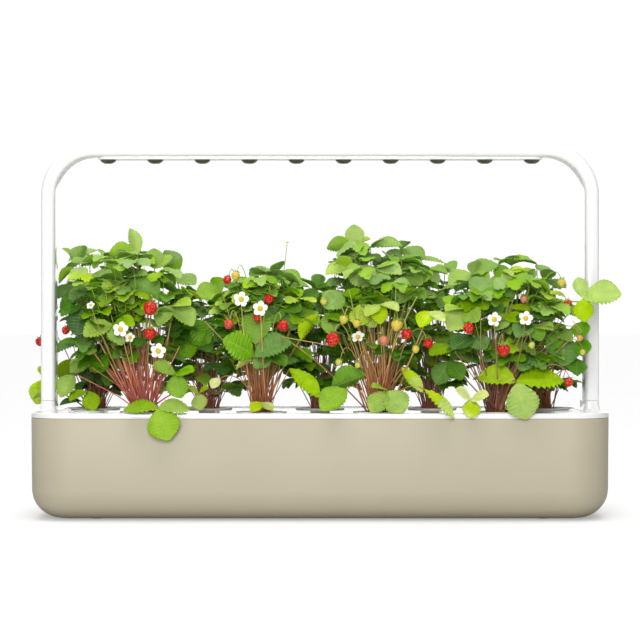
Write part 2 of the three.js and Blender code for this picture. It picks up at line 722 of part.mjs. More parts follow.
// One plant: a crown in the soil, a fan of stalks with a leaf on each, and two hanging berries.
function makePlant(i) {
  const home = cupPlace(i);
  const cell = plantCell(i);
  const crownFoot = CUP_SEAT - SOIL_DROP + SEAT_GAP;
  const tallest = PLANT_TALLEST * PLANT_HEIGHT_SHARES[i];
  const crown = revolve(
    [
      [0, crownFoot],
      [PLANT_CROWN_RADIUS, crownFoot],
      [PLANT_CROWN_RADIUS, crownFoot + PLANT_CROWN_RISE / 2],
      [PLANT_CROWN_RADIUS / 2, crownFoot + PLANT_CROWN_RISE],
      [0, crownFoot + PLANT_CROWN_RISE],
    ],
    6,
  );
  let plant = solidOf(crown.translate(home.x, home.y, 0));
  const stalks = STALK_HEIGHT_SHARES.length;
  const outwardAt = (turnShare) => {
    const turn = (2 * Math.PI * turnShare) / stalks;
    const sideways = home.x < 0 ? Math.sin(turn) : -Math.sin(turn);
    return new THREE.Vector3(sideways, Math.sign(home.y) * Math.cos(turn), 0);
  };
  const footAt = (outward) => {
    const foot = home.clone().addScaledVector(outward, PLANT_CROWN_RADIUS * STALK_FOOT_SHARE);
    return foot.setZ(crownFoot + PLANT_CROWN_RISE * STALK_FOOT_SHARE / 2);
  };
  for (let k = 0; k < stalks; k++) {
    const outward = outwardAt(k);
    const reach = STALK_REACH_SHARES[k] * reachIn(cell, home, outward, LEAFLET_LENGTH * LEAF_EDGE_SHARE);
    const end = home.clone().addScaledVector(outward, reach);
    end.z = TRAY_TOP + tallest * STALK_HEIGHT_SHARES[k];
    plant = plant.add(solidOf(stalkGeometry(footAt(outward), end)));
    plant = plant.add(solidOf(leafGeometry(cell, end, outward, LEAF_DROOP_SHARES[k])));
  }
  const outward = outwardAt(BERRY_TURN_SHARE);
  const top = home.clone().addScaledVector(outward, LEAFLET_LENGTH * LEAF_EDGE_SHARE);
  top.z = TRAY_TOP + tallest * BERRY_HEIGHT_SHARE;
  const profile = BERRY_PROFILE_SHARES.map(([across, up]) => [across * BERRY_RADIUS, up * BERRY_LENGTH]);
  const berry = revolve(profile, 6).translate(top.x, top.y, top.z);
  plant = plant.add(solidOf(stalkGeometry(footAt(outward), top))).add(solidOf(berry));
  return geometryOf(plant);
}

for (let i = 0; i < CUP_COUNT; i++) {
  const place = cupPlace(i);
  addPiece(`cup_${i + 1}`, makeCup(), WHITE_PLASTIC, tray).position.copy(place);
  addPiece(`soil_plug_${i + 1}`, makeSoil(), SOIL_BROWN, tray).position.copy(place);
  addPiece(`plant_${i + 1}`, makePlant(i), LEAF_GREEN, tray);
}

// Arch lamp

const lamp = new THREE.Group();
tray.add(lamp);

// The outline of the arch between two insets from its outer line.
function archBand(outerInset, innerInset, legEnd) {
  const centreX = ARCH_HALF_WIDTH - ARCH_CORNER_RADIUS;
  const centreZ = ARCH_TOP - ARCH_CORNER_RADIUS;
  const outer = ARCH_CORNER_RADIUS - outerInset;
  const inner = ARCH_CORNER_RADIUS - innerInset;
  const band = new THREE.Shape();
  band.moveTo(ARCH_HALF_WIDTH - outerInset, legEnd);
  band.lineTo(centreX + outer, centreZ);
  band.absarc(centreX, centreZ, outer, 0, Math.PI / 2, false);
  band.absarc(-centreX, centreZ, outer, Math.PI / 2, Math.PI, false);
  band.lineTo(-centreX - outer, legEnd);
  band.lineTo(-centreX - inner, legEnd);
  band.lineTo(-centreX - inner, centreZ);
  band.absarc(-centreX, centreZ, inner, Math.PI, Math.PI / 2, true);
  band.absarc(centreX, centreZ, inner, Math.PI / 2, 0, true);
  band.lineTo(centreX + inner, legEnd);
  band.closePath();
  return band;
}

// An outline drawn in the XZ plane, extruded to a width across Y, with its edges rounded if asked.
function acrossY(shape, width, across = 0, deep = 0) {
  const geometry = new THREE.ExtrudeGeometry(shape, {
    depth: width - 2 * deep,
    curveSegments: 4,
    bevelEnabled: deep > 0,
    bevelSize: across,
    bevelOffset: -across,
    bevelThickness: deep,
    bevelSegments: 2,
  });
  return geometry.translate(0, 0, -(width - 2 * deep) / 2).rotateX(Math.PI / 2);
}

function lensX(i) {
  return (i - (LENS_COUNT - 1) / 2) * LENS_PITCH;
}

function makeLampShell() {
  const band = archBand(0, ARCH_THICKNESS, ARM_BOTTOM);
  const tube = solidOf(acrossY(band, ARCH_DEPTH, ARCH_ROUND_ACROSS, ARCH_ROUND_DEEP));
  const inside = archBand(ARCH_WALL, ARCH_THICKNESS + CUT_OVERRUN, ARM_BOTTOM - ARCH_DEPTH);
  return geometryOf(tube.subtract(solidOf(acrossY(inside, CHANNEL_WIDTH))));
}

function makeLampCover() {
  const strip = archBand(ARCH_THICKNESS - COVER_THICKNESS, ARCH_THICKNESS, ARM_BOTTOM);
  let cover = solidOf(acrossY(strip, COVER_WIDTH));
  const band = roundedBlock(
    LAMP_BAND_HALF_LENGTH,
    LAMP_BAND_WIDTH / 2,
    LAMP_BAND_WIDTH / 2 - CUT_OVERRUN,
    BAND_UNDERSIDE,
    COVER_BACK,
    4,
  );
  cover = cover.add(solidOf(band));
  for (let i = 0; i < LENS_COUNT; i++) {
    const hole = uprightCylinder(
      LENS_RADIUS + SEAT_GAP,
      BAND_UNDERSIDE - CUT_OVERRUN,
      COVER_BACK + CUT_OVERRUN,
      12,
    );
    cover = cover.subtract(solidOf(hole.translate(lensX(i), 0, 0)));
  }
  return geometryOf(cover);
}

// A lens: a shallow dome below the cover and a flange behind it.
function makeLens() {
  const rimZ = BAND_UNDERSIDE;
  const flangeBottom = COVER_BACK + SEAT_GAP;
  const sphere = (LENS_RADIUS ** 2 + LENS_SAG ** 2) / (2 * LENS_SAG);
  const opening = Math.asin(LENS_RADIUS / sphere);
  const dome = [];
  const steps = 2;
  for (let i = 0; i <= steps; i++) {
    const angle = (opening * i) / steps;
    const z = rimZ - LENS_SAG + sphere * (1 - Math.cos(angle));
    dome.push([sphere * Math.sin(angle), z]);
  }
  return revolve(
    [
      ...dome,
      [LENS_RADIUS, flangeBottom],
      [LENS_FLANGE_RADIUS, flangeBottom],
      [LENS_FLANGE_RADIUS, flangeBottom + LENS_FLANGE],
      [0, flangeBottom + LENS_FLANGE],
    ],
    10,
  );
}

function makeBoard() {
  const bottom = COVER_BACK + BOARD_RISE;
  let board = solidOf(block(2 * LAMP_BAND_HALF_LENGTH, BOARD_WIDTH, bottom, bottom + BOARD_THICKNESS));
  for (let i = 0; i < LENS_COUNT; i++) {
    const chip = block(CHIP_SIZE, CHIP_SIZE, bottom - CHIP_HEIGHT, bottom + BOARD_THICKNESS / 2);
    board = board.add(solidOf(chip.translate(lensX(i), 0, 0)));
  }
  return geometryOf(board);
}

// The plug at the foot of an arm: half in the channel, half in the tray's socket.
function makePlug() {
  const bottom = ARM_BOTTOM - PLUG_DROP;
  const halfX = PLUG_THICKNESS / 2;
  const halfY = PLUG_WIDTH / 2;
  const narrow = PLUG_CORNER / 2;
  return loft([
    roundedRing(halfX - narrow, halfY - narrow, narrow, bottom, 2),
    roundedRing(halfX, halfY, PLUG_CORNER, bottom + PLUG_CORNER, 2),
    roundedRing(halfX, halfY, PLUG_CORNER, ARM_BOTTOM + PLUG_RISE, 2),
  ]);
}

// The route of the lamp lead: up the right arm, round the corner and along to the board.
class LeadRoute extends THREE.Curve {
  constructor(from, rise, turn) {
    super();
    this.from = from;
    this.rise = rise;
    this.turn = turn;
    this.bend = (Math.PI / 2) * turn;
  }
  getPoint(t, target = new THREE.Vector3()) {
    const along = t * (this.rise + this.bend);
    if (along <= this.rise) return target.set(this.from.x, 0, this.from.z + along);
    const angle = (along - this.rise) / this.turn;
    const x = this.from.x - this.turn * (1 - Math.cos(angle));
    return target.set(x, 0, this.from.z + this.rise + this.turn * Math.sin(angle));
  }
}

function makeLead() {
  const boardZ = COVER_BACK + BOARD_RISE + BOARD_THICKNESS / 2;
  const turn = PLUG_X - LAMP_BAND_HALF_LENGTH - SEAT_GAP;
  const from = new THREE.Vector3(PLUG_X, 0, ARM_BOTTOM + PLUG_RISE + SEAT_GAP);
  const route = new LeadRoute(from, boardZ - turn - from.z, turn);
  const section = new THREE.Shape().absarc(0, 0, LEAD_RADIUS, 0, 2 * Math.PI, false);
  return new THREE.ExtrudeGeometry(section, { steps: 16, curveSegments: 3, extrudePath: route });
}

addPiece("lamp_shell", makeLampShell(), WHITE_PLASTIC, lamp);
addPiece("lamp_cover", makeLampCover(), WHITE_PLASTIC, lamp);
addPiece("led_board", makeBoard(), BOARD_LAMINATE, lamp);
for (let i = 0; i < LENS_COUNT; i++) {
  addPiece(`led_lens_${i + 1}`, makeLens(), LENS_PLASTIC, lamp).position.x = lensX(i);
}
addPiece("left_arm_plug", makePlug(), DARK_RUBBER, lamp).position.x = -PLUG_X;
addPiece("right_arm_plug", makePlug(), DARK_RUBBER, lamp).position.x = PLUG_X;
addPiece("lamp_lead", makeLead(), DARK_RUBBER, lamp);

export default garden;
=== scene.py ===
# %% [markdown]
# # A countertop hydroponic garden
# A beige tank of water stands on a worktop. A white growing tray closes it, nine cups of wild
# strawberry hang in the tray, and an arch lamp stands on the tray and lights them from above.
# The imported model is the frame: it gives every size and place, and each new piece is built round
# it. The frame's box is kept here, so that the finished scene can be compared with it at the end.

# %% Load the frame
import math
import random

import bmesh
import bpy
import numpy as np
from mathutils import Matrix, Vector, noise


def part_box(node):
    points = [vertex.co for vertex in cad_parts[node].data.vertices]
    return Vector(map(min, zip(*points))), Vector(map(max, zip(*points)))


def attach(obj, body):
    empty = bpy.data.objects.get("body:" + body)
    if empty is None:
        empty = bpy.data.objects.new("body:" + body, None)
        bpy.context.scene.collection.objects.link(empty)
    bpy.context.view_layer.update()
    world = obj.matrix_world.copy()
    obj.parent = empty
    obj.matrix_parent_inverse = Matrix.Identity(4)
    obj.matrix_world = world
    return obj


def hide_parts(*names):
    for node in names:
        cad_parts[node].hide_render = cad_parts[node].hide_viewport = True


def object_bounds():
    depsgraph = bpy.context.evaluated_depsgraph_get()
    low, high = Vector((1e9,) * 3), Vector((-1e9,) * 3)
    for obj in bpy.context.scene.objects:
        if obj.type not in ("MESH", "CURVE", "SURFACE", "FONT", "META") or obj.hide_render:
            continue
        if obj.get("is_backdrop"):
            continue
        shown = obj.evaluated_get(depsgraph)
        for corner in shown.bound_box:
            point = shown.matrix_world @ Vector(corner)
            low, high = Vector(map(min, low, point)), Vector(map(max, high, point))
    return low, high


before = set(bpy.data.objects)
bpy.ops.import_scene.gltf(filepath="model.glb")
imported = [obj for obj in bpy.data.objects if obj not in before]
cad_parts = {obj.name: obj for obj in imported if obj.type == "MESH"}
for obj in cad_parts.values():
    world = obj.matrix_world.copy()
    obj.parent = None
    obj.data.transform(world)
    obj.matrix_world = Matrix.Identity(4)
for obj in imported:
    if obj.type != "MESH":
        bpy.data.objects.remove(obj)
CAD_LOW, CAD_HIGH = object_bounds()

MM = 0.001

# %% [markdown]
# ## The camera
# The photograph was taken from straight ahead with a long lens, level with the leaves: the tray's
# top shows as a thin band and the arms of the lamp stay upright. A long lens far away gives that
# flat look, where a short one close by would make the front of the tank bulge.

# %% Camera
PHOTO_SIDE = 640
PHOTO_CENTRE_X = 320.3
PHOTO_CENTRE_Y = 320.7
# How many pixels a thing shows that is as wide as it is far away.
PHOTO_SCALE = 2157
EYE_DISTANCE = 2.292
EYE_HEIGHT = 0.206
SENSOR_WIDTH = 36

bpy.ops.object.select_all(action="DESELECT")
bpy.ops.object.camera_add(location=(0, -EYE_DISTANCE, EYE_HEIGHT), rotation=(math.pi / 2, 0, 0))
camera = bpy.context.object
camera.name = "camera"
camera.data.sensor_width = SENSOR_WIDTH
camera.data.lens = SENSOR_WIDTH * PHOTO_SCALE / PHOTO_SIDE
bpy.context.scene.camera = camera
print("camera lens in mm:", round(camera.data.lens, 1))


# %% Places read from the photograph
def seen_at(across, down, depth):
    """The point that lies on a spot of the photograph, at a depth (Y) in metres."""
    spread = (EYE_DISTANCE + depth) / PHOTO_SCALE
    x = (across - PHOTO_CENTRE_X) * spread
    z = EYE_HEIGHT + (PHOTO_CENTRE_Y - down) * spread
    return Vector((x, depth, z))


print("top of the lamp is at height", round(seen_at(320, 142, 0).z, 3))


# %% [markdown]
# ## The studio
# A catalogue picture has a white floor that runs up behind the object, and big soft lamps. The
# floor here is a large pale sheet. The room looks white all round, but most of it gives little
# light: the bright parts are behind the object and overhead. Its dim sides are what draws a thin
# grey line round white things on white.

# %% A node with its settings and links
def linear(hex_colour):
    """An sRGB colour such as "#C8C0A8" as the linear colour that a shader expects."""
    parts = [int(hex_colour[i : i + 2], 16) / 255 for i in (1, 3, 5)]
    parts = [p / 12.92 if p <= 0.04045 else ((p + 0.055) / 1.055) ** 2.4 for p in parts]
    return (*parts, 1)


def add_node(tree, kind, settings={}, links={}, stops=()):
    """Adds a node, sets its properties or inputs by name or number, and links its inputs.

    Stops are the positions and colours of a colour ramp."""
    node = tree.nodes.new("ShaderNode" + kind)
    for name, value in settings.items():
        if isinstance(name, str) and hasattr(node, name):
            setattr(node, name, value)
        else:
            node.inputs[name].default_value = value
    for name, source in links.items():
        tree.links.new(source, node.inputs[name])
    if stops:
        elements = node.color_ramp.elements
        while len(elements) < len(stops):
            elements.new(0.5)
        for element, (position, colour) in zip(elements, stops):
            element.position = position
            element.color = linear(colour)
    return node


print("linear white:", linear("#FFFFFF"))

# %% World
ROOM_DIM = 0.06
ROOM_BACK = 1.5
ROOM_TOP = 0.3
ROOM_SEEN = 1.05
# How far backwards or upwards a direction points where the bright part begins, and where it is full.
BACK_SPAN = {"From Min": 0.75, "From Max": 0.92, "To Min": ROOM_DIM, "To Max": ROOM_BACK}
TOP_SPAN = {"From Min": 0.45, "From Max": 0.75, "To Min": ROOM_DIM, "To Max": ROOM_TOP}

world = bpy.data.worlds.new("studio")
bpy.context.scene.world = world
world.use_nodes = True
sky = world.node_tree
direction = add_node(sky, "TexCoord")
parts = add_node(sky, "SeparateXYZ", links={0: direction.outputs["Generated"]})
backdrop = add_node(sky, "MapRange", BACK_SPAN, {"Value": parts.outputs["Y"]})
ceiling = add_node(sky, "MapRange", TOP_SPAN, {"Value": parts.outputs["Z"]})
brighter = {0: backdrop.outputs[0], 1: ceiling.outputs[0]}
room = add_node(sky, "Math", {"operation": "MAXIMUM"}, brighter)
# Seen directly, the room is white all round, as on a catalogue page. Only its light is shaped.
ray = add_node(sky, "LightPath")
seen_or_lit = {0: ray.outputs["Is Camera Ray"], 2: room.outputs[0]}
shown = add_node(sky, "Mix", {"data_type": "FLOAT", 3: ROOM_SEEN}, seen_or_lit)
sky.links.new(shown.outputs[0], sky.nodes["Background"].inputs["Strength"])
sky.nodes["Background"].inputs["Color"].default_value = linear("#FFFFFF")
bpy.context.scene.view_settings.view_transform = "Standard"
print("world:", world.name)

# %% Lamps of the studio
KEY_PLACE = Vector((-0.2, -2.4, 0.85))
KEY_SIDE = 1.2
KEY_POWER = 44
OVERHEAD_HEIGHT = 2
OVERHEAD_SPREAD = math.radians(50)
OVERHEAD_STRENGTH = 2.3
MIDDLE = (CAD_LOW + CAD_HIGH) / 2

bpy.ops.object.light_add(type="AREA", location=KEY_PLACE)
key = bpy.context.object
key.name = "key_softbox"
key.data.shape = "SQUARE"
key.data.size = KEY_SIDE
key.data.energy = KEY_POWER
key.rotation_euler = (MIDDLE - KEY_PLACE).to_track_quat("-Z", "Y").to_euler()
# Light from straight above reaches the floor, the lid and the leaves, but grazes the walls.
bpy.ops.object.light_add(type="SUN", location=(0, 0, OVERHEAD_HEIGHT))
overhead = bpy.context.object
overhead.name = "overhead_light"
overhead.data.angle = OVERHEAD_SPREAD
overhead.data.energy = OVERHEAD_STRENGTH
print("the softbox aims at", tuple(round(v, 3) for v in MIDDLE))

# %% [markdown]
# ## Helpers for modelling
# Pieces are made as by hand: a primitive, then edit mode, where faces or edges are picked by
# their place and worked with the same tools that the menus hold. These few helpers start a piece,
# pick its parts, and close it: origin at the world's centre, a finish, a body to ride on.


# %% Select and pick
SAME_PLACE = 0.05 * MM
LEVEL = 0.99


def deselect():
    bpy.ops.object.select_all(action="DESELECT")


def take(piece):
    """Selects one piece alone, and makes it the active one."""
    deselect()
    piece.select_set(True)
    bpy.context.view_layer.objects.active = piece


def edit(piece):
    """Opens edit mode on one piece with nothing picked."""
    take(piece)
    bpy.ops.object.mode_set(mode="EDIT")
    bpy.ops.mesh.select_all(action="DESELECT")


def leave():
    bpy.ops.object.mode_set(mode="OBJECT")


def pick(kind, test):
    """Picks the verts, edges or faces of the piece in edit mode whose places pass a test."""
    bpy.context.tool_settings.mesh_select_mode = [kind == mode for mode in ("verts", "edges", "faces")]
    bpy.ops.mesh.select_all(action="DESELECT")
    mesh = bpy.context.edit_object.data
    shape = bmesh.from_edit_mesh(mesh)
    for part in getattr(shape, kind):
        points = [part.co] if kind == "verts" else [v.co for v in part.verts]
        normal = part.normal if kind == "faces" else None
        if test(points, normal):
            part.select_set(True)
    shape.select_flush_mode()
    bmesh.update_edit_mesh(mesh)


def all_at(height):
    """A test for parts that lie wholly at one height."""
    return lambda points, normal: all(abs(p.z - height) < SAME_PLACE for p in points)


def faces_at(height, way):
    """A test for level faces at one height that look up, where way is 1, or down, where it is -1."""
    return lambda points, normal: normal.z * way > LEVEL and abs(points[0].z - height) < SAME_PLACE


print("helpers for picking are ready")


# %% Block, plate and round bar
def new_piece(name):
    """Names the primitive that was just added, and puts its origin at the world's centre."""
    bpy.ops.object.transform_apply(location=True, rotation=True, scale=True)
    piece = bpy.context.object
    piece.name = piece.data.name = name
    return piece


def add_block(name, low, high):
    """A box between two corners."""
    low, high = Vector(low), Vector(high)
    deselect()
    bpy.ops.mesh.primitive_cube_add(size=1, location=(low + high) / 2, scale=high - low)
    return new_piece(name)


def add_rod(name, radius, low, high, sides, place=(0, 0)):
    """An upright round bar."""
    deselect()
    size = {"vertices": sides, "radius": radius, "depth": high - low}
    bpy.ops.mesh.primitive_cylinder_add(location=(*place, (low + high) / 2), **size)
    return new_piece(name)


def add_taper(name, low_radius, high_radius, low, high, sides):
    """An upright cone with its two ends cut off."""
    deselect()
    size = {"vertices": sides, "radius1": low_radius, "radius2": high_radius, "depth": high - low}
    bpy.ops.mesh.primitive_cone_add(location=(0, 0, (low + high) / 2), **size)
    return new_piece(name)


print("helpers for primitives are ready")


# %% Rounds and extrusions
def bevel(radius, steps, kind="EDGES"):
    bpy.ops.mesh.bevel(offset=radius, segments=steps, affect=kind)


def round_upright_edges(piece, radius, steps):
    """Bevels the four upright edges of a box."""
    edit(piece)
    tall = 0.9 * piece.dimensions.z
    pick("edges", lambda points, normal: abs(points[0].z - points[1].z) > tall)
    bevel(radius, steps)
    leave()


def round_loop(piece, height, radius, steps):
    """Bevels the edges that lie at one height."""
    edit(piece)
    pick("edges", all_at(height))
    bevel(radius, steps)
    leave()


def extrude(x, y, z):
    """Extrudes what is picked, and moves the new part."""
    bpy.ops.mesh.extrude_region_move(TRANSFORM_OT_translate={"value": (x, y, z)})


def widen(x, y, centre):
    """Scales what is picked along X and Y, seen from a centre."""
    bpy.ops.transform.resize(value=(x, y, 1), center_override=centre)


def close_skin(gap):
    """Merges points closer than a gap, turns the faces outwards, and leaves edit mode."""
    bpy.ops.mesh.select_all(action="SELECT")
    if gap:
        bpy.ops.mesh.remove_doubles(threshold=gap)
    bpy.ops.mesh.normals_make_consistent(inside=False)
    leave()


print("helpers for shaping are ready")


# %% Solids cut, joined and copied
def apply_modifier(piece, kind, **settings):
    """Adds one modifier and applies it at once."""
    take(piece)
    modifier = piece.modifiers.new(kind.lower(), kind)
    for name, value in settings.items():
        setattr(modifier, name, value)
    bpy.ops.object.modifier_apply(modifier=modifier.name)


def cut(piece, cutter):
    """Cuts one solid with another and deletes the cutter."""
    apply_modifier(piece, "BOOLEAN", operation="DIFFERENCE", solver="EXACT", object=cutter)
    bpy.data.objects.remove(cutter)


def join_solid(piece, other):
    """Joins two solids into one skin."""
    apply_modifier(piece, "BOOLEAN", operation="UNION", solver="EXACT", object=other)
    bpy.data.objects.remove(other)


def copies_at(model, names, places):
    """Copies a model to each place, each copy with its own mesh, and deletes the model."""
    made = []
    for name, place in zip(names, places):
        copied = model.copy()
        copied.data = model.data.copy()
        copied.name = copied.data.name = name
        copied.data.transform(Matrix.Translation(place))
        bpy.context.collection.objects.link(copied)
        made.append(copied)
    bpy.data.objects.remove(model)
    return made


print("helpers for solids are ready")


# %% Finish a piece
def middle_of(node):
    """The middle of a CAD node's box."""
    low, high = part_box(node)
    return (low + high) / 2


def nodes_named(start):
    return [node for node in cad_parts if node.startswith(start)]


def finish_piece(piece, finish, body, replaced=(), smooth=35):
    """Shades a piece, gives it its material, lets it ride on its body and stand for its nodes."""
    take(piece)
    bpy.ops.object.shade_smooth_by_angle(angle=math.radians(smooth))
    if finish is not None:
        piece.data.materials.clear()
        piece.data.materials.append(finish)
    if replaced:
        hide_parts(*replaced)
    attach(piece, body)
    deselect()


def report(piece):
    """Prints how many faces a piece has, and how many of its edges are open."""
    shape = bmesh.new()
    shape.from_mesh(piece.data)
    loose = sum(1 for edge in shape.edges if len(edge.link_faces) != 2)
    print(piece.name, "faces:", len(shape.faces), "open edges:", loose)
    shape.free()


print("helpers for finishing are ready")

# %% [markdown]
# ## Moulded plastics
# The tank and the tray are injection moulded. The tank's ABS has a fine spark-eroded texture from
# the mould that makes it satin. The tray and the lamp are polished ABS: the mould was smooth, so
# they mirror the leaves a little. A shallow noise in the bump keeps both from looking like paint
# on glass, and its scale comes from the grain's size in millimetres.


# %% A finish and its shader
DRIFT_SIZE = 60 * MM
GLOSS_DRIFT = 0.1
PLASTIC_IOR = 1.53


def new_finish(name):
    """A material with its node tree and its principled shader."""
    finish = bpy.data.materials.new(name)
    finish.use_nodes = True
    return finish, finish.node_tree, finish.node_tree.nodes["Principled BSDF"]


def object_place(tree):
    return add_node(tree, "TexCoord").outputs["Object"]


def dress(tree, shader, colour, bump):
    """Links the colour and the bump of a finish to its shader."""
    tree.links.new(colour, shader.inputs["Base Color"])
    tree.links.new(bump.outputs[0], shader.inputs["Normal"])


def moulded_plastic(name, light, dark, roughness, grain, depth):
    """Plastic from a mould: a grain in the bump and a very faint drift of colour and gloss."""
    finish, tree, shader = new_finish(name)
    place = object_place(tree)
    drift = add_node(tree, "TexNoise", {"Scale": 1 / DRIFT_SIZE, "Detail": 2}, {"Vector": place})
    colours = {"data_type": "RGBA", 6: linear(light), 7: linear(dark)}
    colour = add_node(tree, "Mix", colours, {0: drift.outputs["Fac"]})
    span = {"To Min": roughness * (1 - GLOSS_DRIFT), "To Max": roughness * (1 + GLOSS_DRIFT)}
    gloss = add_node(tree, "MapRange", span, {"Value": drift.outputs["Fac"]})
    texture = add_node(tree, "TexNoise", {"Scale": 1 / grain, "Detail": 3}, {"Vector": place})
    relief = {"Strength": 0.5, "Distance": depth}
    bump = add_node(tree, "Bump", relief, {"Height": texture.outputs["Fac"]})
    dress(tree, shader, colour.outputs[2], bump)
    tree.links.new(gloss.outputs[0], shader.inputs["Roughness"])
    shader.inputs["IOR"].default_value = PLASTIC_IOR
    return finish


print("plastic helper is ready")

# %% The four plastics
# Roughness, then the width and depth of the grain.
SATIN = (0.5, 0.5 * MM, 0.02 * MM)
POLISHED = (0.1, 6 * MM, 0.01 * MM)
SILK = (0.25, 0.6 * MM, 0.004 * MM)
WAXY = (0.4, 1.5 * MM, 0.02 * MM)
# Satin ABS with a spark-eroded grain of half a millimetre: a soft wide highlight and no mirror.
satin_beige = moulded_plastic("satin_abs_beige", "#B9B19A", "#B3AB94", *SATIN)
satin_beige.node_tree.nodes["Principled BSDF"].inputs["Specular IOR Level"].default_value = 0.3
# Polished ABS: a clear reflection, broken a little by sink marks a few millimetres wide.
polished_white = moulded_plastic("polished_abs_white", "#F4F4F3", "#EFEFEF", *POLISHED)
# The lamp's white is a little softer than the tray's under a clear coat, so that its edge reads
# as a wide glow.
silk_white = moulded_plastic("silk_abs_white", "#F5F5F5", "#F2F2F2", *SILK)
silk_white.node_tree.nodes["Principled BSDF"].inputs["Coat Weight"].default_value = 0.8
# Natural polypropylene of the cups: waxy and a little milky.
waxy_white = moulded_plastic("polypropylene_white", "#F3F3F0", "#EEEEEA", *WAXY)
print("plastics:", satin_beige.name, polished_white.name, silk_white.name, waxy_white.name)

# %% [markdown]
# ## The water tank
# The real tank is one moulded tub: straight sides with a little draft, round ends, and a lower
# edge with a wide radius that lifts it off the table by eye. It starts as a box. The four upright
# edges are bevelled first and the lower loop after them, because the lower bevel then follows the
# round corners. The lid of the box is deleted and Solidify gives the wall its thickness inwards.

# %% Tank
TANK_CORNER = 45 * MM
TANK_BELLY = 30 * MM
TANK_DRAFT = 0.8 * MM
TANK_WALL = 2.5 * MM
CORNER_STEPS = 20
tank_low, tank_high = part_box("water_tank")

tank = add_block("tank_tub", tank_low, tank_high)
round_upright_edges(tank, TANK_CORNER, CORNER_STEPS)
edit(tank)
pick("verts", all_at(tank_low.z))
narrowing = [1 - 2 * TANK_DRAFT / (tank_high - tank_low)[axis] for axis in (0, 1)]
widen(*narrowing, (0, 0, tank_low.z))
leave()
round_loop(tank, tank_low.z, TANK_BELLY, steps=16)
edit(tank)
pick("faces", faces_at(tank_high.z, 1))
bpy.ops.mesh.delete(type="FACE")
leave()
apply_modifier(tank, "SOLIDIFY", thickness=TANK_WALL, offset=-1, use_even_offset=True)
report(tank)

# %% Tank rim and foot recesses
RIM_ROUND = 0.5 * MM
RECESS_GAP = 0.4 * MM
RECESS_DEPTH = 0.3 * MM
round_loop(tank, tank_high.z, RIM_ROUND, steps=2)
feet = nodes_named("foot_")
for foot in feet:
    foot_low, foot_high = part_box(foot)
    radius = (foot_high.x - foot_low.x) / 2 + RECESS_GAP
    top = foot_high.z + RECESS_DEPTH
    recess = add_rod("foot_recess", radius, 0, top, sides=40, place=middle_of(foot)[:2])
    cut(tank, recess)
finish_piece(tank, satin_beige, "tank", ["water_tank"])
report(tank)

# %% [markdown]
# ## Rubber feet
# Each foot is a thin rubber disc with a broken edge, glued in a shallow recess. Rubber is matt
# and grey-black, with moulding dust in its pores. One disc is made and the other three are copies.
# Its two close colours come from one noise, which also lifts the skin, and the same helper makes
# the finish of other small parts.


# %% Mottled finishes
def mottled(name, light, dark, size, roughness, detail=3, strength=0.3, depth=0.02 * MM):
    """A finish with a fine mottle of two close colours, which is also its relief."""
    finish, tree, shader = new_finish(name)
    place = object_place(tree)
    mottle = add_node(tree, "TexNoise", {"Scale": 1 / size, "Detail": detail}, {"Vector": place})
    colours = {"data_type": "RGBA", 6: linear(dark), 7: linear(light)}
    colour = add_node(tree, "Mix", colours, {0: mottle.outputs["Fac"]})
    relief = {"Strength": strength, "Distance": depth}
    bump = add_node(tree, "Bump", relief, {"Height": mottle.outputs["Fac"]})
    dress(tree, shader, colour.outputs[2], bump)
    shader.inputs["Roughness"].default_value = roughness
    return finish


# Moulded rubber is rough all over, with pores of under a millimetre.
PORES = {"detail": 4, "strength": 0.6, "depth": 0.05 * MM}
foot_rubber = mottled("moulded_rubber", "#3A3836", "#232221", 0.8 * MM, roughness=0.85, **PORES)
print("rubber:", foot_rubber.name)

# %% Feet
FOOT_BREAK = 0.5 * MM
first_low, first_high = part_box(feet[0])
first = middle_of(feet[0])
radius = (first_high.x - first_low.x) / 2
disc = add_rod("foot_disc", radius, first_low.z, first_high.z, sides=48, place=first[:2])
round_loop(disc, first_low.z, FOOT_BREAK, steps=3)
places = [middle_of(foot) - first for foot in feet]
for foot, piece in zip(feet, copies_at(disc, ["rubber_" + foot for foot in feet], places)):
    finish_piece(piece, foot_rubber, "tank", [foot])
print("feet:", len(feet))

# %% [markdown]
# ## The growing tray
# The lid of the tank is a moulded tray. Its rim lies on the tank's edge, a skirt reaches inside
# the tub, and the panel sits a little lower than the rim so that drips stay on it. On the real
# part all of this is one wall that folds up and down, so it is made by insets and extrusions of
# one block, and what is not a band round the edge, the panel, holes and sockets, is cut.

# %% Tray block with its skirt
RIM_HEIGHT = 5.5 * MM
TRAY_ROUND = 1.8 * MM
SKIRT_INSET = 3.1 * MM
SKIRT_WALL = 2 * MM
SKIRT_DROP = 8 * MM
RIM_WIDTH = 9 * MM
PLATE = 2.4 * MM
PANEL_RECESS = 1.2 * MM
TRAY_LIFT = 0.3 * MM
TRAY_SEAT = tank_high.z + TRAY_LIFT
TRAY_TOP = TRAY_SEAT + RIM_HEIGHT
PANEL_TOP = TRAY_TOP - PANEL_RECESS
tray_low, tray_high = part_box("growing_tray")

tray = add_block("tray_lid", (tray_low.x, tray_low.y, TRAY_SEAT), (tray_high.x, tray_high.y, TRAY_TOP))
round_upright_edges(tray, TANK_CORNER, CORNER_STEPS)
round_loop(tray, TRAY_TOP, TRAY_ROUND, steps=4)
edit(tray)
pick("faces", faces_at(TRAY_SEAT, -1))
bpy.ops.mesh.inset(thickness=SKIRT_INSET)
extrude(0, 0, -SKIRT_DROP)
bpy.ops.mesh.inset(thickness=SKIRT_WALL)
extrude(0, 0, SKIRT_DROP)
bpy.ops.mesh.inset(thickness=RIM_WIDTH - SKIRT_INSET - SKIRT_WALL)
extrude(0, 0, PANEL_TOP - PLATE - TRAY_SEAT)
leave()
report(tray)

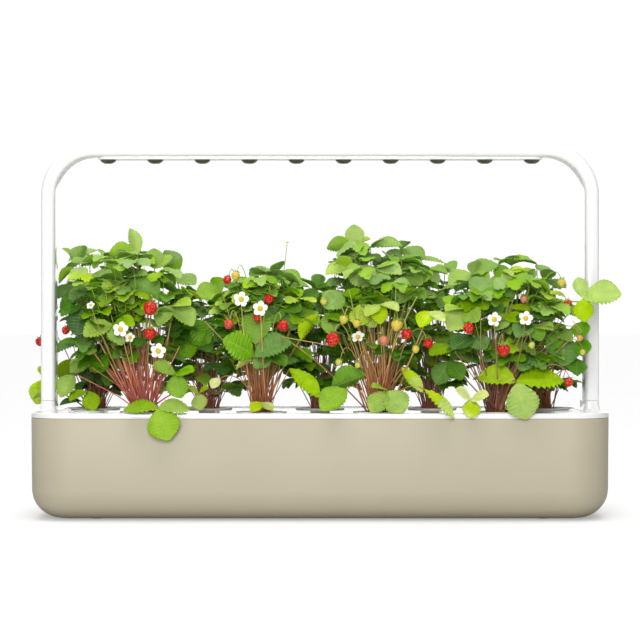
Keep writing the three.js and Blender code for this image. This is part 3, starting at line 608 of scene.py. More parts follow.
# %% Panel recess
PANEL_END_BORDER = 25 * MM
PANEL_SIDE_BORDER = 6 * MM
PANEL_CORNER = 30 * MM
PANEL_EDGE = 0.8 * MM
# How far the large and the small cutters stand out of what they cut.
CUT_BEYOND = 5 * MM
CUT_PAST = 1 * MM
panel_low = (tray_low.x + PANEL_END_BORDER, tray_low.y + PANEL_SIDE_BORDER, PANEL_TOP)
panel_high = (tray_high.x - PANEL_END_BORDER, tray_high.y - PANEL_SIDE_BORDER, TRAY_TOP + CUT_BEYOND)
panel = add_block("panel_cutter", panel_low, panel_high)
round_upright_edges(panel, PANEL_CORNER, steps=14)
round_loop(panel, PANEL_TOP, PANEL_EDGE, steps=3)
cut(tray, panel)
report(tray)

# %% [markdown]
# ## Collars and sockets
# Each end of the tray carries a collar that flares into the rim like a poured foot, and the arm of
# the lamp stands on it. Its outline is the arm's own. It is drawn as a plate with round corners at
# the top and extruded down in steps that widen along a quarter circle, which gives the concave
# sweep. A block with the same round corners is the sleeve of the socket below it.

# %% Outline of the arm
ARM_THICKNESS = 15 * MM
ARM_DEPTH = 32 * MM
ARM_ROUND = 4.5 * MM
ARM_STEPS = 6
arch_low, arch_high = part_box("lamp_shell")
ARM_X = arch_high.x - ARM_THICKNESS / 2


def add_arm_plate(name, centre_x, height, thickness, depth, corner):
    """A flat face with round corners, the section of an arm, in edit mode and picked."""
    deselect()
    size = (thickness, depth, 1)
    bpy.ops.mesh.primitive_plane_add(size=1, location=(centre_x, 0, height))
    bpy.context.object.scale = size
    plate = new_piece(name)
    edit(plate)
    bpy.ops.mesh.select_all(action="SELECT")
    bevel(corner, ARM_STEPS, "VERTICES")
    bpy.ops.mesh.select_all(action="SELECT")
    return plate


print("arms stand at x =", round(ARM_X, 4))

# %% Collars
COLLAR_TOP = tray_high.z
COLLAR_FLARE = 3.6 * MM
COLLAR_STEPS = 8
SOCKET_DROP = 14 * MM
collar_foot = TRAY_TOP - TRAY_ROUND
drop = (COLLAR_TOP - collar_foot) / COLLAR_STEPS
for side in (-1, 1):
    collar = add_arm_plate("collar", side * ARM_X, COLLAR_TOP, ARM_THICKNESS, ARM_DEPTH, ARM_ROUND)
    grown = 0
    for step in range(1, COLLAR_STEPS + 1):
        grow = COLLAR_FLARE * (1 - math.sqrt(1 - (step / COLLAR_STEPS) ** 2))
        extrude(0, 0, -drop)
        wider = [(size / 2 + grow) / (size / 2 + grown) for size in (ARM_THICKNESS, ARM_DEPTH)]
        widen(*wider, (side * ARM_X, 0, COLLAR_TOP - drop * step))
        grown = grow
    close_skin(gap=0)
    join_solid(tray, collar)
    low = (side * ARM_X - ARM_THICKNESS / 2, -ARM_DEPTH / 2, TRAY_SEAT - SOCKET_DROP)
    sleeve = add_block("sleeve", low, (side * ARM_X + ARM_THICKNESS / 2, ARM_DEPTH / 2, collar_foot))
    round_upright_edges(sleeve, ARM_ROUND, ARM_STEPS)
    join_solid(tray, sleeve)
report(tray)

# %% Boss of the power inlet
BOSS_WALL = 2.2 * MM
BOSS_OVERLAP = 2 * MM
BOSS_RISE = 0.5 * MM
BOSS_CORNER = 2 * MM
BOSS_EDGE = 1 * MM
INLET_GAP = 0.3 * MM
INLET_HOLE = (-15 * MM, 5 * MM)
jack_low, jack_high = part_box("power_jack")
jack_middle = (jack_low + jack_high) / 2
jack_radius = (jack_high.x - jack_low.x) / 2
boss_low = (jack_low.x - BOSS_WALL, ARM_DEPTH / 2 - BOSS_OVERLAP, TRAY_SEAT + BOSS_RISE)
boss = add_block("jack_boss", boss_low, (jack_high.x + BOSS_WALL, jack_high.y, COLLAR_TOP))
round_upright_edges(boss, BOSS_CORNER, steps=4)
round_loop(boss, COLLAR_TOP, BOSS_EDGE, steps=3)
join_solid(tray, boss)


def lay_in_inlet(piece):
    """Turns an upright piece so that its top faces backwards, at the mouth of the inlet."""
    piece.data.transform(Matrix.Rotation(-math.pi / 2, 4, "X"))
    piece.data.transform(Matrix.Translation((jack_middle.x, jack_high.y, jack_middle.z)))
    return piece


cut(tray, lay_in_inlet(add_rod("jack_hole", jack_radius + INLET_GAP, *INLET_HOLE, sides=32)))
report(tray)

# %% Sockets, cup holes and vent
PLUG_GAP = Vector((0.3 * MM, 0.3 * MM, 0))
PLUG_CORNER = 2 * MM
SOCKET_FLOOR = 2 * MM
ABOVE_COLLARS = 200 * MM
for plug in ("left_arm_plug", "right_arm_plug"):
    low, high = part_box(plug)
    foot = Vector((low.x, low.y, TRAY_SEAT - SOCKET_DROP + SOCKET_FLOOR))
    top = Vector((high.x, high.y, ABOVE_COLLARS))
    socket = add_block("socket", foot - PLUG_GAP, top + PLUG_GAP)
    round_upright_edges(socket, PLUG_CORNER, steps=4)
    cut(tray, socket)
CUP_HOLE = 23.4 * MM
WELL_HOLE = 16.4 * MM
VENT_HOLE = 1.2 * MM
VENT_PLACE = (270 * MM, 49 * MM)
cups = nodes_named("cup_")
cup_middles = {cup: middle_of(cup) for cup in cups}
well_middle = middle_of("filler_well")
# Each hole: its radius, its place, and how many sides draw it round.
holes = [(CUP_HOLE, middle.xy, 64) for middle in cup_middles.values()]
holes += [(WELL_HOLE, well_middle.xy, 48), (VENT_HOLE, VENT_PLACE, 20)]
for radius, place, sides in holes:
    cut(tray, add_rod("hole", radius, TRAY_SEAT - CUT_BEYOND, TRAY_TOP + CUT_BEYOND, sides, place))
finish_piece(tray, polished_white, "tray", ["growing_tray"])
report(tray)

# %% [markdown]
# ## The arch lamp
# The lamp is an oval channel bent into an arch. A bend in Blender's menus needs a window, so the
# arch is swept: the arm's section is extruded up, spun a quarter turn about each corner's centre
# and extruded across the top. The channel that holds the lights is a thinner arch cut out of the
# inner side, and a cover strip closes it.


# %% Sweep an arch
ARCH_CORNER = 56 * MM
ARCH_STEPS = 14
ARCH_TOP = arch_high.z
ARM_FOOT = arch_low.z
MERGE = 0.01 * MM


def sweep_arch(name, inner, outer, depth, corner, foot):
    """A bar along the arch, between two insets from its outer line, as deep as asked along Y."""
    half = arch_high.x
    middle = half - (inner + outer) / 2
    bar = add_arm_plate(name, -middle, foot, inner - outer, depth, corner)
    turn = {"steps": ARCH_STEPS, "angle": math.pi / 2, "axis": (0, -1, 0)}
    rise = ARCH_TOP - ARCH_CORNER - foot
    extrude(0, 0, rise)
    bpy.ops.mesh.spin(center=(ARCH_CORNER - half, 0, ARCH_TOP - ARCH_CORNER), **turn)
    extrude(2 * (half - ARCH_CORNER), 0, 0)
    bpy.ops.mesh.spin(center=(half - ARCH_CORNER, 0, ARCH_TOP - ARCH_CORNER), **turn)
    extrude(0, 0, -rise)
    close_skin(MERGE)
    return bar


arch = sweep_arch("arch_shell", ARM_THICKNESS, 0, ARM_DEPTH, ARM_ROUND, ARM_FOOT)
report(arch)
print("arch spans", [round(v, 4) for v in arch.dimensions])

# %% Channel
ARCH_WALL = 2.5 * MM
COVER_THICKNESS = 2.2 * MM
COVER_WIDTH = 22 * MM
COVER_GAP = 0.2 * MM
OVERRUN = 1 * MM
CHANNEL_CORNER = 1 * MM
channel_inner = ARM_THICKNESS + OVERRUN
channel_width = COVER_WIDTH + 2 * COVER_GAP
channel_foot = ARM_FOOT - CUT_BEYOND
cut(arch, sweep_arch("channel", channel_inner, ARCH_WALL, channel_width, CHANNEL_CORNER, channel_foot))
finish_piece(arch, silk_white, "lamp", ["lamp_shell"])
report(arch)

# %% Cover strip and light band
COVER_CORNER = 0.5 * MM
BAND_PROUD = 3 * MM
BAND_OVERLAP = 1 * MM
BAND_WIDTH = 20 * MM
BAND_END = BAND_WIDTH / 2 - 0.5 * MM
BAND_EDGE = 1.2 * MM
BAR_UNDERSIDE = ARCH_TOP - ARM_THICKNESS
cover_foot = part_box("lamp_cover")[0].z
half_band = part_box("led_board")[1].x

cover_outer = ARM_THICKNESS - COVER_THICKNESS
cover = sweep_arch("cover_strip", ARM_THICKNESS, cover_outer, COVER_WIDTH, COVER_CORNER, cover_foot)
band_low = (-half_band, -BAND_WIDTH / 2, BAR_UNDERSIDE - BAND_PROUD)
band = add_block("light_band", band_low, (half_band, BAND_WIDTH / 2, BAR_UNDERSIDE + BAND_OVERLAP))
round_upright_edges(band, BAND_END, steps=12)
round_loop(band, BAR_UNDERSIDE - BAND_PROUD, BAND_EDGE, steps=4)
join_solid(cover, band)
report(cover)

# %% [markdown]
# ## Lenses
# Ten domes of smoked polycarbonate spread the light of the chips behind them. Each dome is turned:
# half of its profile is drawn as a short line and spun once round its own axis, which is how the
# mould was made too. It ends in a flange that the cover strip holds from behind.

# %% Smoked polycarbonate
LENS_TINTS = {"data_type": "RGBA", 6: linear("#3B3935"), 7: linear("#504D46")}
LENS_CLOUD = 4 * MM
smoked_lens, tree, shader = new_finish("smoked_polycarbonate")
clouds = {"Scale": 1 / LENS_CLOUD, "Detail": 2}
cloud = add_node(tree, "TexNoise", clouds, {"Vector": object_place(tree)})
tint = add_node(tree, "Mix", LENS_TINTS, {0: cloud.outputs["Fac"]})
tree.links.new(tint.outputs[2], shader.inputs["Base Color"])
# A polished dome: dark inside, with one clear highlight on its skin.
shader.inputs["Roughness"].default_value = 0.16
shader.inputs["IOR"].default_value = 1.58
print("lens finish:", smoked_lens.name)


# %% Turn a profile
TURN_STEPS = 32


def turn_profile(name, profile):
    """Spins a line of (radius, height) points once round the upright axis and closes it."""
    deselect()
    mesh = bpy.data.meshes.new(name)
    points = [(radius, 0, height) for radius, height in profile]
    mesh.from_pydata(points, [(i, i + 1) for i in range(len(points) - 1)], [])
    piece = bpy.data.objects.new(name, mesh)
    bpy.context.collection.objects.link(piece)
    edit(piece)
    bpy.ops.mesh.select_all(action="SELECT")
    bpy.ops.mesh.spin(steps=TURN_STEPS, angle=2 * math.pi, center=(0, 0, 0), axis=(0, 0, 1))
    close_skin(2 * MERGE)
    return piece


print("turning helper is ready")

# %% Lens
LENS_RADIUS = 8.6 * MM
LENS_FLANGE = 9.6 * MM
LENS_FLANGE_HEIGHT = 1.2 * MM
LENS_GAP = 0.3 * MM
LENS_HOLE_HEIGHT = 20 * MM
# The dome's line in millimetres: how far out, and how far up from its lowest point.
LENS_BELL = [(0, 0), (3.2, 0.15), (4.8, 0.55), (6.2, 1.3), (7.3, 2.1), (8.0, 2.8), (8.4, 3.4), (8.6, 4.0)]
lenses = nodes_named("led_lens_")
lens_low, lens_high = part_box(lenses[0])
height = lens_high.z - lens_low.z
under = height - LENS_FLANGE_HEIGHT
profile = [(across * MM, up * MM) for across, up in LENS_BELL]
profile += [(LENS_RADIUS, under), (LENS_FLANGE, under), (LENS_FLANGE, height), (0, height)]
dome = turn_profile("lens", profile)
places = [(*middle_of(lens)[:2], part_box(lens)[0].z) for lens in lenses]
for x, y, low in places:
    top = low + LENS_HOLE_HEIGHT
    cut(cover, add_rod("lens_hole", LENS_RADIUS + LENS_GAP, low, top, sides=40, place=(x, y)))
finish_piece(cover, silk_white, "lamp", ["lamp_cover"])
for lens, piece in zip(lenses, copies_at(dome, ["dome_" + lens for lens in lenses], places)):
    finish_piece(piece, smoked_lens, "lamp", [lens])
report(cover)

# %% [markdown]
# ## Small inner parts
# The board, the lead, the plugs and the contacts sit inside the arch and its sockets, and show
# only when the lamp is lifted off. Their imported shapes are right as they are, so they only get
# the finish of what they are: a white solder mask, soft black rubber, black nylon and gold plate.


# %% Finishes of the small parts
black_nylon = mottled("nylon_black", "#303030", "#202020", size=1 * MM, roughness=0.45)
small_parts = {
    "led_board": mottled("solder_mask_white", "#F0F1EE", "#DDE0DC", size=2 * MM, roughness=0.35),
    "lamp_lead": mottled("soft_rubber_sleeve", "#2F2D2B", "#1E1D1B", size=1 * MM, roughness=0.7),
    "left_arm_plug": black_nylon,
    "right_arm_plug": black_nylon,
    "socket_contact": mottled("gold_plate", "#D8B765", "#C39C44", size=0.5 * MM, roughness=0.25),
}
gold = small_parts["socket_contact"].node_tree.nodes["Principled BSDF"]
gold.inputs["Metallic"].default_value = 1.0
for node, finish in small_parts.items():
    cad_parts[node].data.materials.clear()
    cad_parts[node].data.materials.append(finish)
print("small parts:", ", ".join(small_parts))

# %% [markdown]
# ## Power inlet
# Behind the right collar sits a barrel socket, a black cup with a pin in its middle. It is a rod
# with a bore cut into it and the pin joined back in, then laid on its side.

# %% Power inlet
JACK_BORE = 3.2 * MM
JACK_BORE_DEPTH = 9 * MM
JACK_PIN = 1 * MM
JACK_EDGE = 0.4 * MM
PIN_SET_BACK = 1 * MM
jack = add_rod("barrel_socket", jack_radius, jack_low.y - jack_high.y, 0, sides=48)
round_loop(jack, 0, JACK_EDGE, steps=2)
cut(jack, add_rod("bore", JACK_BORE, -JACK_BORE_DEPTH, 2 * CUT_PAST, sides=40))
join_solid(jack, add_rod("pin", JACK_PIN, -JACK_BORE_DEPTH - CUT_PAST, -PIN_SET_BACK, sides=20))
finish_piece(lay_in_inlet(jack), black_nylon, "tray", ["power_jack"])
report(jack)

# %% [markdown]
# ## Cups
# Each plant grows in a thin slotted cup that hangs in the tray by a flange. A cone gives its
# taper. The inside is a second cone cut out of it, the slots are three thin blocks, and the floor
# has a hole for the wick. One cup is made and copied to all nine holes.


# %% Cup
CUP_BOTTOM = 17 * MM
CUP_TOP = 23 * MM
CUP_WALL = 1.4 * MM
FLANGE = 1 * MM
FLANGE_EDGE = 0.4 * MM
WICK_HOLE = 7 * MM
SLOT_WIDTH = 5 * MM
SLOT_RISE = 7.4 * MM
SLOT_HEIGHT = 22 * MM
CUP_SLOT = (12 * MM, 30 * MM)
CUP_SIDES = 56
THIRDS = (0, 120, 240)
cup_low, cup_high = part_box("cup_1")


def radial_block(name, reach, width, low, high, turn):
    """A block between two distances from the upright axis, turned about it by some degrees."""
    block = add_block(name, (reach[0], -width / 2, low), (reach[1], width / 2, high))
    block.data.transform(Matrix.Rotation(math.radians(turn), 4, "Z"))
    return block


def add_flange(piece, radius, top, sides):
    """Joins the flange by which a cup or the well hangs in the tray."""
    flange = add_rod("flange", radius, top - FLANGE, top, sides)
    round_loop(flange, top, FLANGE_EDGE, steps=3)
    join_solid(piece, flange)


flange_foot = cup_high.z - FLANGE
cup = add_taper("cup", CUP_BOTTOM, CUP_TOP, cup_low.z, flange_foot, CUP_SIDES)
add_flange(cup, (cup_high.x - cup_low.x) / 2, cup_high.z, sides=72)
slope = (CUP_TOP - CUP_BOTTOM) / (flange_foot - cup_low.z)
inside_low = cup_low.z + CUP_WALL
inside_bottom = CUP_BOTTOM - CUP_WALL + slope * CUP_WALL
inside_top = CUP_TOP - CUP_WALL + slope * (FLANGE + CUT_PAST)
inside = add_taper("inside", inside_bottom, inside_top, inside_low, cup_high.z + CUT_PAST, CUP_SIDES)
cut(cup, inside)
cut(cup, add_rod("wick_hole", WICK_HOLE, cup_low.z - CUT_PAST, inside_low + CUT_PAST, sides=32))
slot_low = cup_low.z + SLOT_RISE
for turn in THIRDS:
    cut(cup, radial_block("slot", CUP_SLOT, SLOT_WIDTH, slot_low, slot_low + SLOT_HEIGHT, turn))
report(cup)
cup_places = [(middle.x, middle.y, 0) for middle in cup_middles.values()]
for name, piece in zip(cups, copies_at(cup, ["hanging_" + name for name in cups], cup_places)):
    finish_piece(piece, waxy_white, "pod_" + name[4:], [name])
print("cups:", len(cups))

# %% [markdown]
# ## Filler well and float
# Water is poured in through an open tube with three inner ribs, and a foam float between the ribs
# rises to show the level. The tube is a rod with its bore cut out and the ribs joined in.

# %% Filler well
WELL_WALL = 1.4 * MM
WELL_RADIUS = 16 * MM
WELL_FLOOR = 1.5 * MM
FLOOR_HOLE = 6 * MM
RIB_WIDTH = 1.6 * MM
RIB_REACH = 9.4 * MM
RIB_SPAN = (RIB_REACH, WELL_RADIUS - WELL_WALL / 2)
RIB_OVERLAP = 0.5 * MM
WELL_SLOT = (11 * MM, 20 * MM)
WELL_SLOT_RISE = 1.5 * MM
WELL_SLOT_HEIGHT = 20 * MM
well_low, well_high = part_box("filler_well")
tube_top = well_high.z - FLANGE
well = add_rod("well_tube", WELL_RADIUS, well_low.z, tube_top, sides=64)
add_flange(well, (well_high.x - well_low.x) / 2, well_high.z, sides=64)
well_floor = well_low.z + WELL_FLOOR
cut(well, add_rod("bore", WELL_RADIUS - WELL_WALL, well_floor, well_high.z + CUT_PAST, sides=56))
cut(well, add_rod("floor_hole", FLOOR_HOLE, well_low.z - CUT_PAST, well_floor + CUT_PAST, sides=32))
slot_low = well_floor + WELL_SLOT_RISE
slot_high = slot_low + WELL_SLOT_HEIGHT
for turn in THIRDS:
    join_solid(well, radial_block("rib", RIB_SPAN, RIB_WIDTH, well_floor - RIB_OVERLAP, tube_top, turn))
    cut(well, radial_block("slot", WELL_SLOT, SLOT_WIDTH, slot_low, slot_high, turn + 60))
well.data.transform(Matrix.Translation((well_middle.x, well_middle.y, 0)))
finish_piece(well, polished_white, "tray", ["filler_well"])
report(well)

# %% Float
FLOAT_EDGE = 2 * MM
closed_foam = mottled("closed_cell_foam", "#F1F2EC", "#DADCD2", size=1.2 * MM, roughness=0.6)
float_low, float_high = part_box("water_float")
radius = (float_high.x - float_low.x) / 2
place = middle_of("water_float")[:2]
level_float = add_rod("level_float", radius, float_low.z, float_high.z, sides=48, place=place)
for height in (float_high.z, float_low.z):
    round_loop(level_float, height, FLOAT_EDGE, steps=4)
finish_piece(level_float, closed_foam, "float", ["water_float"])
report(level_float)

# %% [markdown]
# ## Floor
# A studio floor is a seamless white sheet that is lit until it has no edge. Here it is one wide
# plane with a chalky finish. It is declared as stage, so it is no part of the object.

# %% Floor
FLOOR_SIDE = 60
PAPER_GLOW = 0.34
deselect()
bpy.ops.mesh.primitive_plane_add(size=FLOOR_SIDE, location=(0, 0, 0))
floor = bpy.context.object
floor.name = floor.data.name = "studio_floor"
paper = mottled("studio_paper", "#CFCFCF", "#CBCBCB", size=400 * MM, roughness=0.9)
floor.data.materials.append(paper)
glow = paper.node_tree.nodes["Principled BSDF"]
# The sheet glows as well, so that its far edge melts into the room. Light linking keeps that
# glow to the sheet itself: on the tank it would wash out the shading of the round corners.
glow.inputs["Emission Color"].default_value = linear("#FFFFFF")
glow.inputs["Emission Strength"].default_value = PAPER_GLOW
paper_only = bpy.data.collections.new("lit_by_the_paper")
paper_only.objects.link(floor)
floor.light_linking.receiver_collection = paper_only
floor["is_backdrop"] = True
print("floor side in metres:", floor.dimensions.x)

# %% [markdown]
# ## Soil
# Each cup is filled with a plug of peat and coir fibre, pressed to a cone, and a wick hangs from
# it into the water. The loose top is made of rings of faces, inset one after another, that a noise
# then lifts and lowers like crumbs.

# %% Peat and coir
CRUMB_SIZE = 1.6 * MM
FIBRE_LENGTH = 5 * MM
EARTH_TONES = [(0.4, "#1F150E"), (0.68, "#6B4A2E")]
peat, tree, shader = new_finish("peat_and_coir")
place = object_place(tree)
crumbs = add_node(tree, "TexVoronoi", {"Scale": 1 / CRUMB_SIZE}, {"Vector": place})
strands = {"Scale": 1 / FIBRE_LENGTH, "Detail": 4, "Distortion": 2.5}
fibres = add_node(tree, "TexNoise", strands, {"Vector": place})
earth = add_node(tree, "ValToRGB", {}, {0: fibres.outputs["Fac"]}, EARTH_TONES)
relief = {"Strength": 0.9, "Distance": 0.8 * MM}
bump = add_node(tree, "Bump", relief, {"Height": crumbs.outputs["Distance"]})
dress(tree, shader, earth.outputs[0], bump)
# Damp peat is matt and nearly black between its crumbs, with light brown fibres on top.
shader.inputs["Roughness"].default_value = 0.9
print("soil finish:", peat.name)

# %% Soil plug
SOIL_RINGS = 6
SOIL_CRUMB = 1.1 * MM
SOIL_FOOT_SHARE = 0.74
SOIL_LIFT = 0.3 * MM
CRUMB_SPACING = 3 * MM
WICK_RADIUS = 5.6 * MM
WICK_OVERLAP = 2 * MM
soil_low, soil_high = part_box("soil_plug_1")
soil_radius = (soil_high.x - soil_low.x) / 2
soil_top = soil_high.z - SOIL_CRUMB
wick_top = cup_low.z + CUP_WALL + SOIL_LIFT
plug = add_taper("plug", soil_radius * SOIL_FOOT_SHARE, soil_radius, wick_top, soil_top, sides=40)
edit(plug)
pick("faces", faces_at(soil_top, 1))
for ring in range(SOIL_RINGS):
    bpy.ops.mesh.inset(thickness=soil_radius / (SOIL_RINGS + 1))
leave()
join_solid(plug, add_rod("wick", WICK_RADIUS, soil_low.z, wick_top + WICK_OVERLAP, sides=20))
for vert in plug.data.vertices:
    if vert.co.z > soil_top - SOIL_CRUMB / 2:
        vert.co.z += SOIL_CRUMB * noise.noise(vert.co / CRUMB_SPACING)
report(plug)
for name, piece in zip(cups, copies_at(plug, ["peat_plug_" + name[4:] for name in cups], cup_places)):
    finish_piece(piece, peat, "pod_" + name[4:], ["soil_plug_" + name[4:]], smooth=50)
print("soil plugs:", len(cups))

# %% [markdown]
# ## Leaves
# A wild strawberry leaf has three toothed leaflets on one stalk. A leaflet is pleated: its side
# veins lie in furrows that run out into the teeth, its two halves fold up from the midrib, and its
# underside is paler. One leaflet is made from a grid whose rows are narrowed one by one, then
# folded and thickened. It is made a few times over with other folds, and copied to every place.


# %% Veins of a leaf
LEAF_TEETH = 9
MIDRIB_SPAN = {"From Min": 0.0, "From Max": 0.035, "To Min": 1.0, "To Max": 0.0}
SIDE_VEIN_SPAN = {"From Min": 0.36, "From Max": 0.5, "To Min": 0.0, "To Max": 0.8}


def leaf_veins(tree):
    """A value that is 1 on the midrib, 0.8 on the side veins and 0 between them."""
    # The map's first coordinate runs from foot to tip, the second from edge to edge.
    leaf_map = add_node(tree, "UVMap", {"uv_map": "leaf_map"})
    split = add_node(tree, "SeparateXYZ", links={0: leaf_map.outputs[0]})
    off_midrib = add_node(tree, "Math", {"operation": "SUBTRACT", 1: 0.5}, {0: split.outputs["Y"]})
    half = add_node(tree, "Math", {"operation": "ABSOLUTE"}, {0: off_midrib.outputs[0]})
    midrib = add_node(tree, "MapRange", MIDRIB_SPAN, {"Value": half.outputs[0]})
    teeth = add_node(tree, "Math", {"operation": "MULTIPLY", 1: LEAF_TEETH}, {0: split.outputs["X"]})
    between = add_node(tree, "Math", {"operation": "PINGPONG", 1: 0.5}, {0: teeth.outputs[0]})
    side_vein = add_node(tree, "MapRange", SIDE_VEIN_SPAN, {"Value": between.outputs[0]})
    both = {0: midrib.outputs[0], 1: side_vein.outputs[0]}
    return add_node(tree, "Math", {"operation": "MAXIMUM"}, both).outputs[0]


print("veins for leaves with", LEAF_TEETH, "teeth on each side")

# %% Leaf finishes
# The tones run from a near-black green that stands for painted deep shade, through the leaves' own greens,
# to a pale yellow-green that stands for painted light.
LEAF_TONES = [
    (0.0, "#1C350B"),
    (0.25, "#386B15"),
    (0.5, "#649A14"),
    (0.72, "#93BB14"),
    (0.88, "#B6CF33"),
    (1.0, "#DFE89A"),
]
LEAF_MOTTLE = 9 * MM
MOTTLE_SHARE = 0.3
VEIN_SHARE = 0.2
VEIN_PALE = {"data_type": "RGBA", 7: linear("#C9DC8A")}
# Painted top light: leaves high in the crown turn towards this pale green.
TOP_LIGHT_PALE = {"data_type": "RGBA", 7: linear("#B9D67C")}
TOP_LIGHT_SPAN = {"From Min": 225 * MM, "From Max": 300 * MM, "To Min": 0.0, "To Max": 0.6}
FRESHNESS = {"To Min": 0.8, "To Max": 1.12}


def leaf_finish(name, pale, vein_lift, roughness):
    """Leaf skin: a tone for each leaf with painted shade and light, a mottle, raised pale veins, and
    painted top light that pales the highest leaves.
    """
    finish, tree, shader = new_finish(name)
    tone = add_node(tree, "Attribute", {"attribute_name": "tone"})
    spots = {"Scale": 1 / LEAF_MOTTLE, "Detail": 3}
    mottle = add_node(tree, "TexNoise", spots, {"Vector": object_place(tree)})
    sway = {"operation": "MULTIPLY_ADD", 1: MOTTLE_SHARE}
    shifted = add_node(tree, "Math", sway, {0: mottle.outputs["Fac"], 2: tone.outputs["Fac"]})
    centred = {"operation": "SUBTRACT", 1: MOTTLE_SHARE / 2}
    level = add_node(tree, "Math", centred, {0: shifted.outputs[0]})
    skin = add_node(tree, "ValToRGB", {}, {0: level.outputs[0]}, LEAF_TONES)
    veins = leaf_veins(tree)
    vein_share = add_node(tree, "Math", {"operation": "MULTIPLY", 1: VEIN_SHARE}, {0: veins})
    veined = add_node(tree, "Mix", VEIN_PALE, {0: vein_share.outputs[0], 6: skin.outputs[0]})
    paling = {"data_type": "RGBA", 0: pale, 7: linear("#BFD493")}
    paled = add_node(tree, "Mix", paling, {6: veined.outputs[2]})
    # Painted top light: the highest leaves are paled, as if the light from above bleached them.
    height = add_node(tree, "SeparateXYZ", links={0: object_place(tree)})
    top_light_share = add_node(tree, "MapRange", TOP_LIGHT_SPAN, {"Value": height.outputs["Z"]})
    top_lit = add_node(tree, "Mix", TOP_LIGHT_PALE, {0: top_light_share.outputs[0], 6: paled.outputs[2]})
    # Each leaflet is an island of its mesh, and some are duller than others.
    island = add_node(tree, "NewGeometry")
    fresh = add_node(tree, "MapRange", FRESHNESS, {"Value": island.outputs["Random Per Island"]})
    green = {"Color": top_lit.outputs[2], "Saturation": fresh.outputs[0]}
    varied = add_node(tree, "HueSaturation", links=green)
    bump = add_node(tree, "Bump", {"Strength": 0.6, "Distance": vein_lift}, {"Height": veins})
    dress(tree, shader, varied.outputs[0], bump)
    # Light passes through a leaf, so a blade that is lit from behind glows a little.
    shader.inputs["Subsurface Weight"].default_value = 0.35
    shader.inputs["Subsurface Radius"].default_value = (0.7, 1.0, 0.3)
    shader.inputs["Subsurface Scale"].default_value = 1 * MM
    # A thin waxy skin gives a soft white sheen over the green.
    shader.inputs["Roughness"].default_value = roughness
    shader.inputs["IOR"].default_value = 1.38
    shader.inputs["Specular IOR Level"].default_value = 0.25
    return finish


leaf_upper = leaf_finish("leaf_upper_side", pale=0.0, vein_lift=-0.55 * MM, roughness=0.5)
leaf_under = leaf_finish("leaf_underside", pale=0.45, vein_lift=0.5 * MM, roughness=0.65)
print("leaf finishes:", leaf_upper.name, leaf_under.name)


# %% Blade of a leaflet, petal or sepal
# A power of the way along that moves the widest row a little from the middle.
WIDEST_POWER = 0.92
LEAST_WIDTH = 0.04
EDGE_SWEEP = 0.25
TOOTH_REACH = 1.2


def blade_model(name, rows, columns, half_width, fullness, fold, arch, thickness, tooth=0, pleat=0):
    """A leaflet, petal or sepal of unit length from its foot at zero to its tip along X."""
    deselect()
    counts = {"x_subdivisions": rows, "y_subdivisions": columns}
    bpy.ops.mesh.primitive_grid_add(size=1, location=(0.5, 0, 0), **counts)
    blade = new_piece(name)
    blade.data.uv_layers[0].name = "leaf_map"
    edit(blade)
    for row in range(rows + 1):
        along = row / rows
        width = 2 * half_width * max(math.sin(math.pi * along**WIDEST_POWER), 0) ** fullness
        width = max(width * (1 if row % 2 else 1 - tooth), LEAST_WIDTH)
        pick("verts", lambda points, normal: abs(points[0].x - along) < 0.2 / rows)
        widen(1, width, (along, 0, 0))
    leave()
    for vert in blade.data.vertices:
        along, side = vert.co.x, abs(vert.co.y)
        row = round(along * rows)
        vert.co.x += EDGE_SWEEP * side * (1 - along**2)
        if tooth and row % 2:
            vert.co.x += TOOTH_REACH * tooth * side / half_width / rows
        vert.co.z = fold * side + arch * along * (1 - along)
        vert.co.z += pleat * (1 if row % 2 == 0 else -1) * min(side / half_width * 2, 1)
    # The wall's second side takes the second finish, the underside's.
    sides = {"material_offset": 1, "material_offset_rim": 0}
    apply_modifier(blade, "SOLIDIFY", thickness=thickness, offset=-1, **sides)
    for face in blade.data.polygons:
        face.material_index = min(face.material_index, 1)
    return blade


print("blade helper is ready")

# %% Leaflets
INNER_TEETH = 5
INNER_TOOTH = 0.2
FRONT_COLUMNS = 4
INNER_COLUMNS = 2
LEAFLET = {"half_width": 0.42, "fullness": 0.66, "pleat": 0.026, "thickness": 0.012}


def leaflet(name, teeth, columns, fold, arch, tooth=0.11):
    return blade_model(name, 2 * teeth, columns, fold=fold, arch=arch, tooth=tooth, **LEAFLET)


front_leaflets = [
    leaflet("leaflet_flat", LEAF_TEETH, FRONT_COLUMNS, fold=0.16, arch=0.14),
    leaflet("leaflet_folded", LEAF_TEETH, FRONT_COLUMNS, fold=0.42, arch=0.10),
    leaflet("leaflet_arched", LEAF_TEETH, FRONT_COLUMNS, fold=0.26, arch=0.34),
]
inner_leaflets = [
    leaflet("leaflet_inner_flat", INNER_TEETH, INNER_COLUMNS, fold=0.18, arch=0.16, tooth=INNER_TOOTH),
    leaflet("leaflet_inner_folded", INNER_TEETH, INNER_COLUMNS, fold=0.46, arch=0.24, tooth=INNER_TOOTH),
]
for model in front_leaflets + inner_leaflets:
    report(model)


# %% Stand a leaflet in its place
def blade_matrix(foot, tip, face, width=1.0):
    """Puts a unit leaflet on its foot, pointed at its tip, with its upper side towards face."""
    along = tip - foot
    size = along.length
    along.normalize()
    upper = (face - along * face.dot(along)).normalized()
    across = upper.cross(along)
    turn = Matrix((along, across, upper)).transposed().to_4x4()
    return Matrix.Translation(foot) @ turn @ Matrix.Diagonal((size, size * width, size, 1))


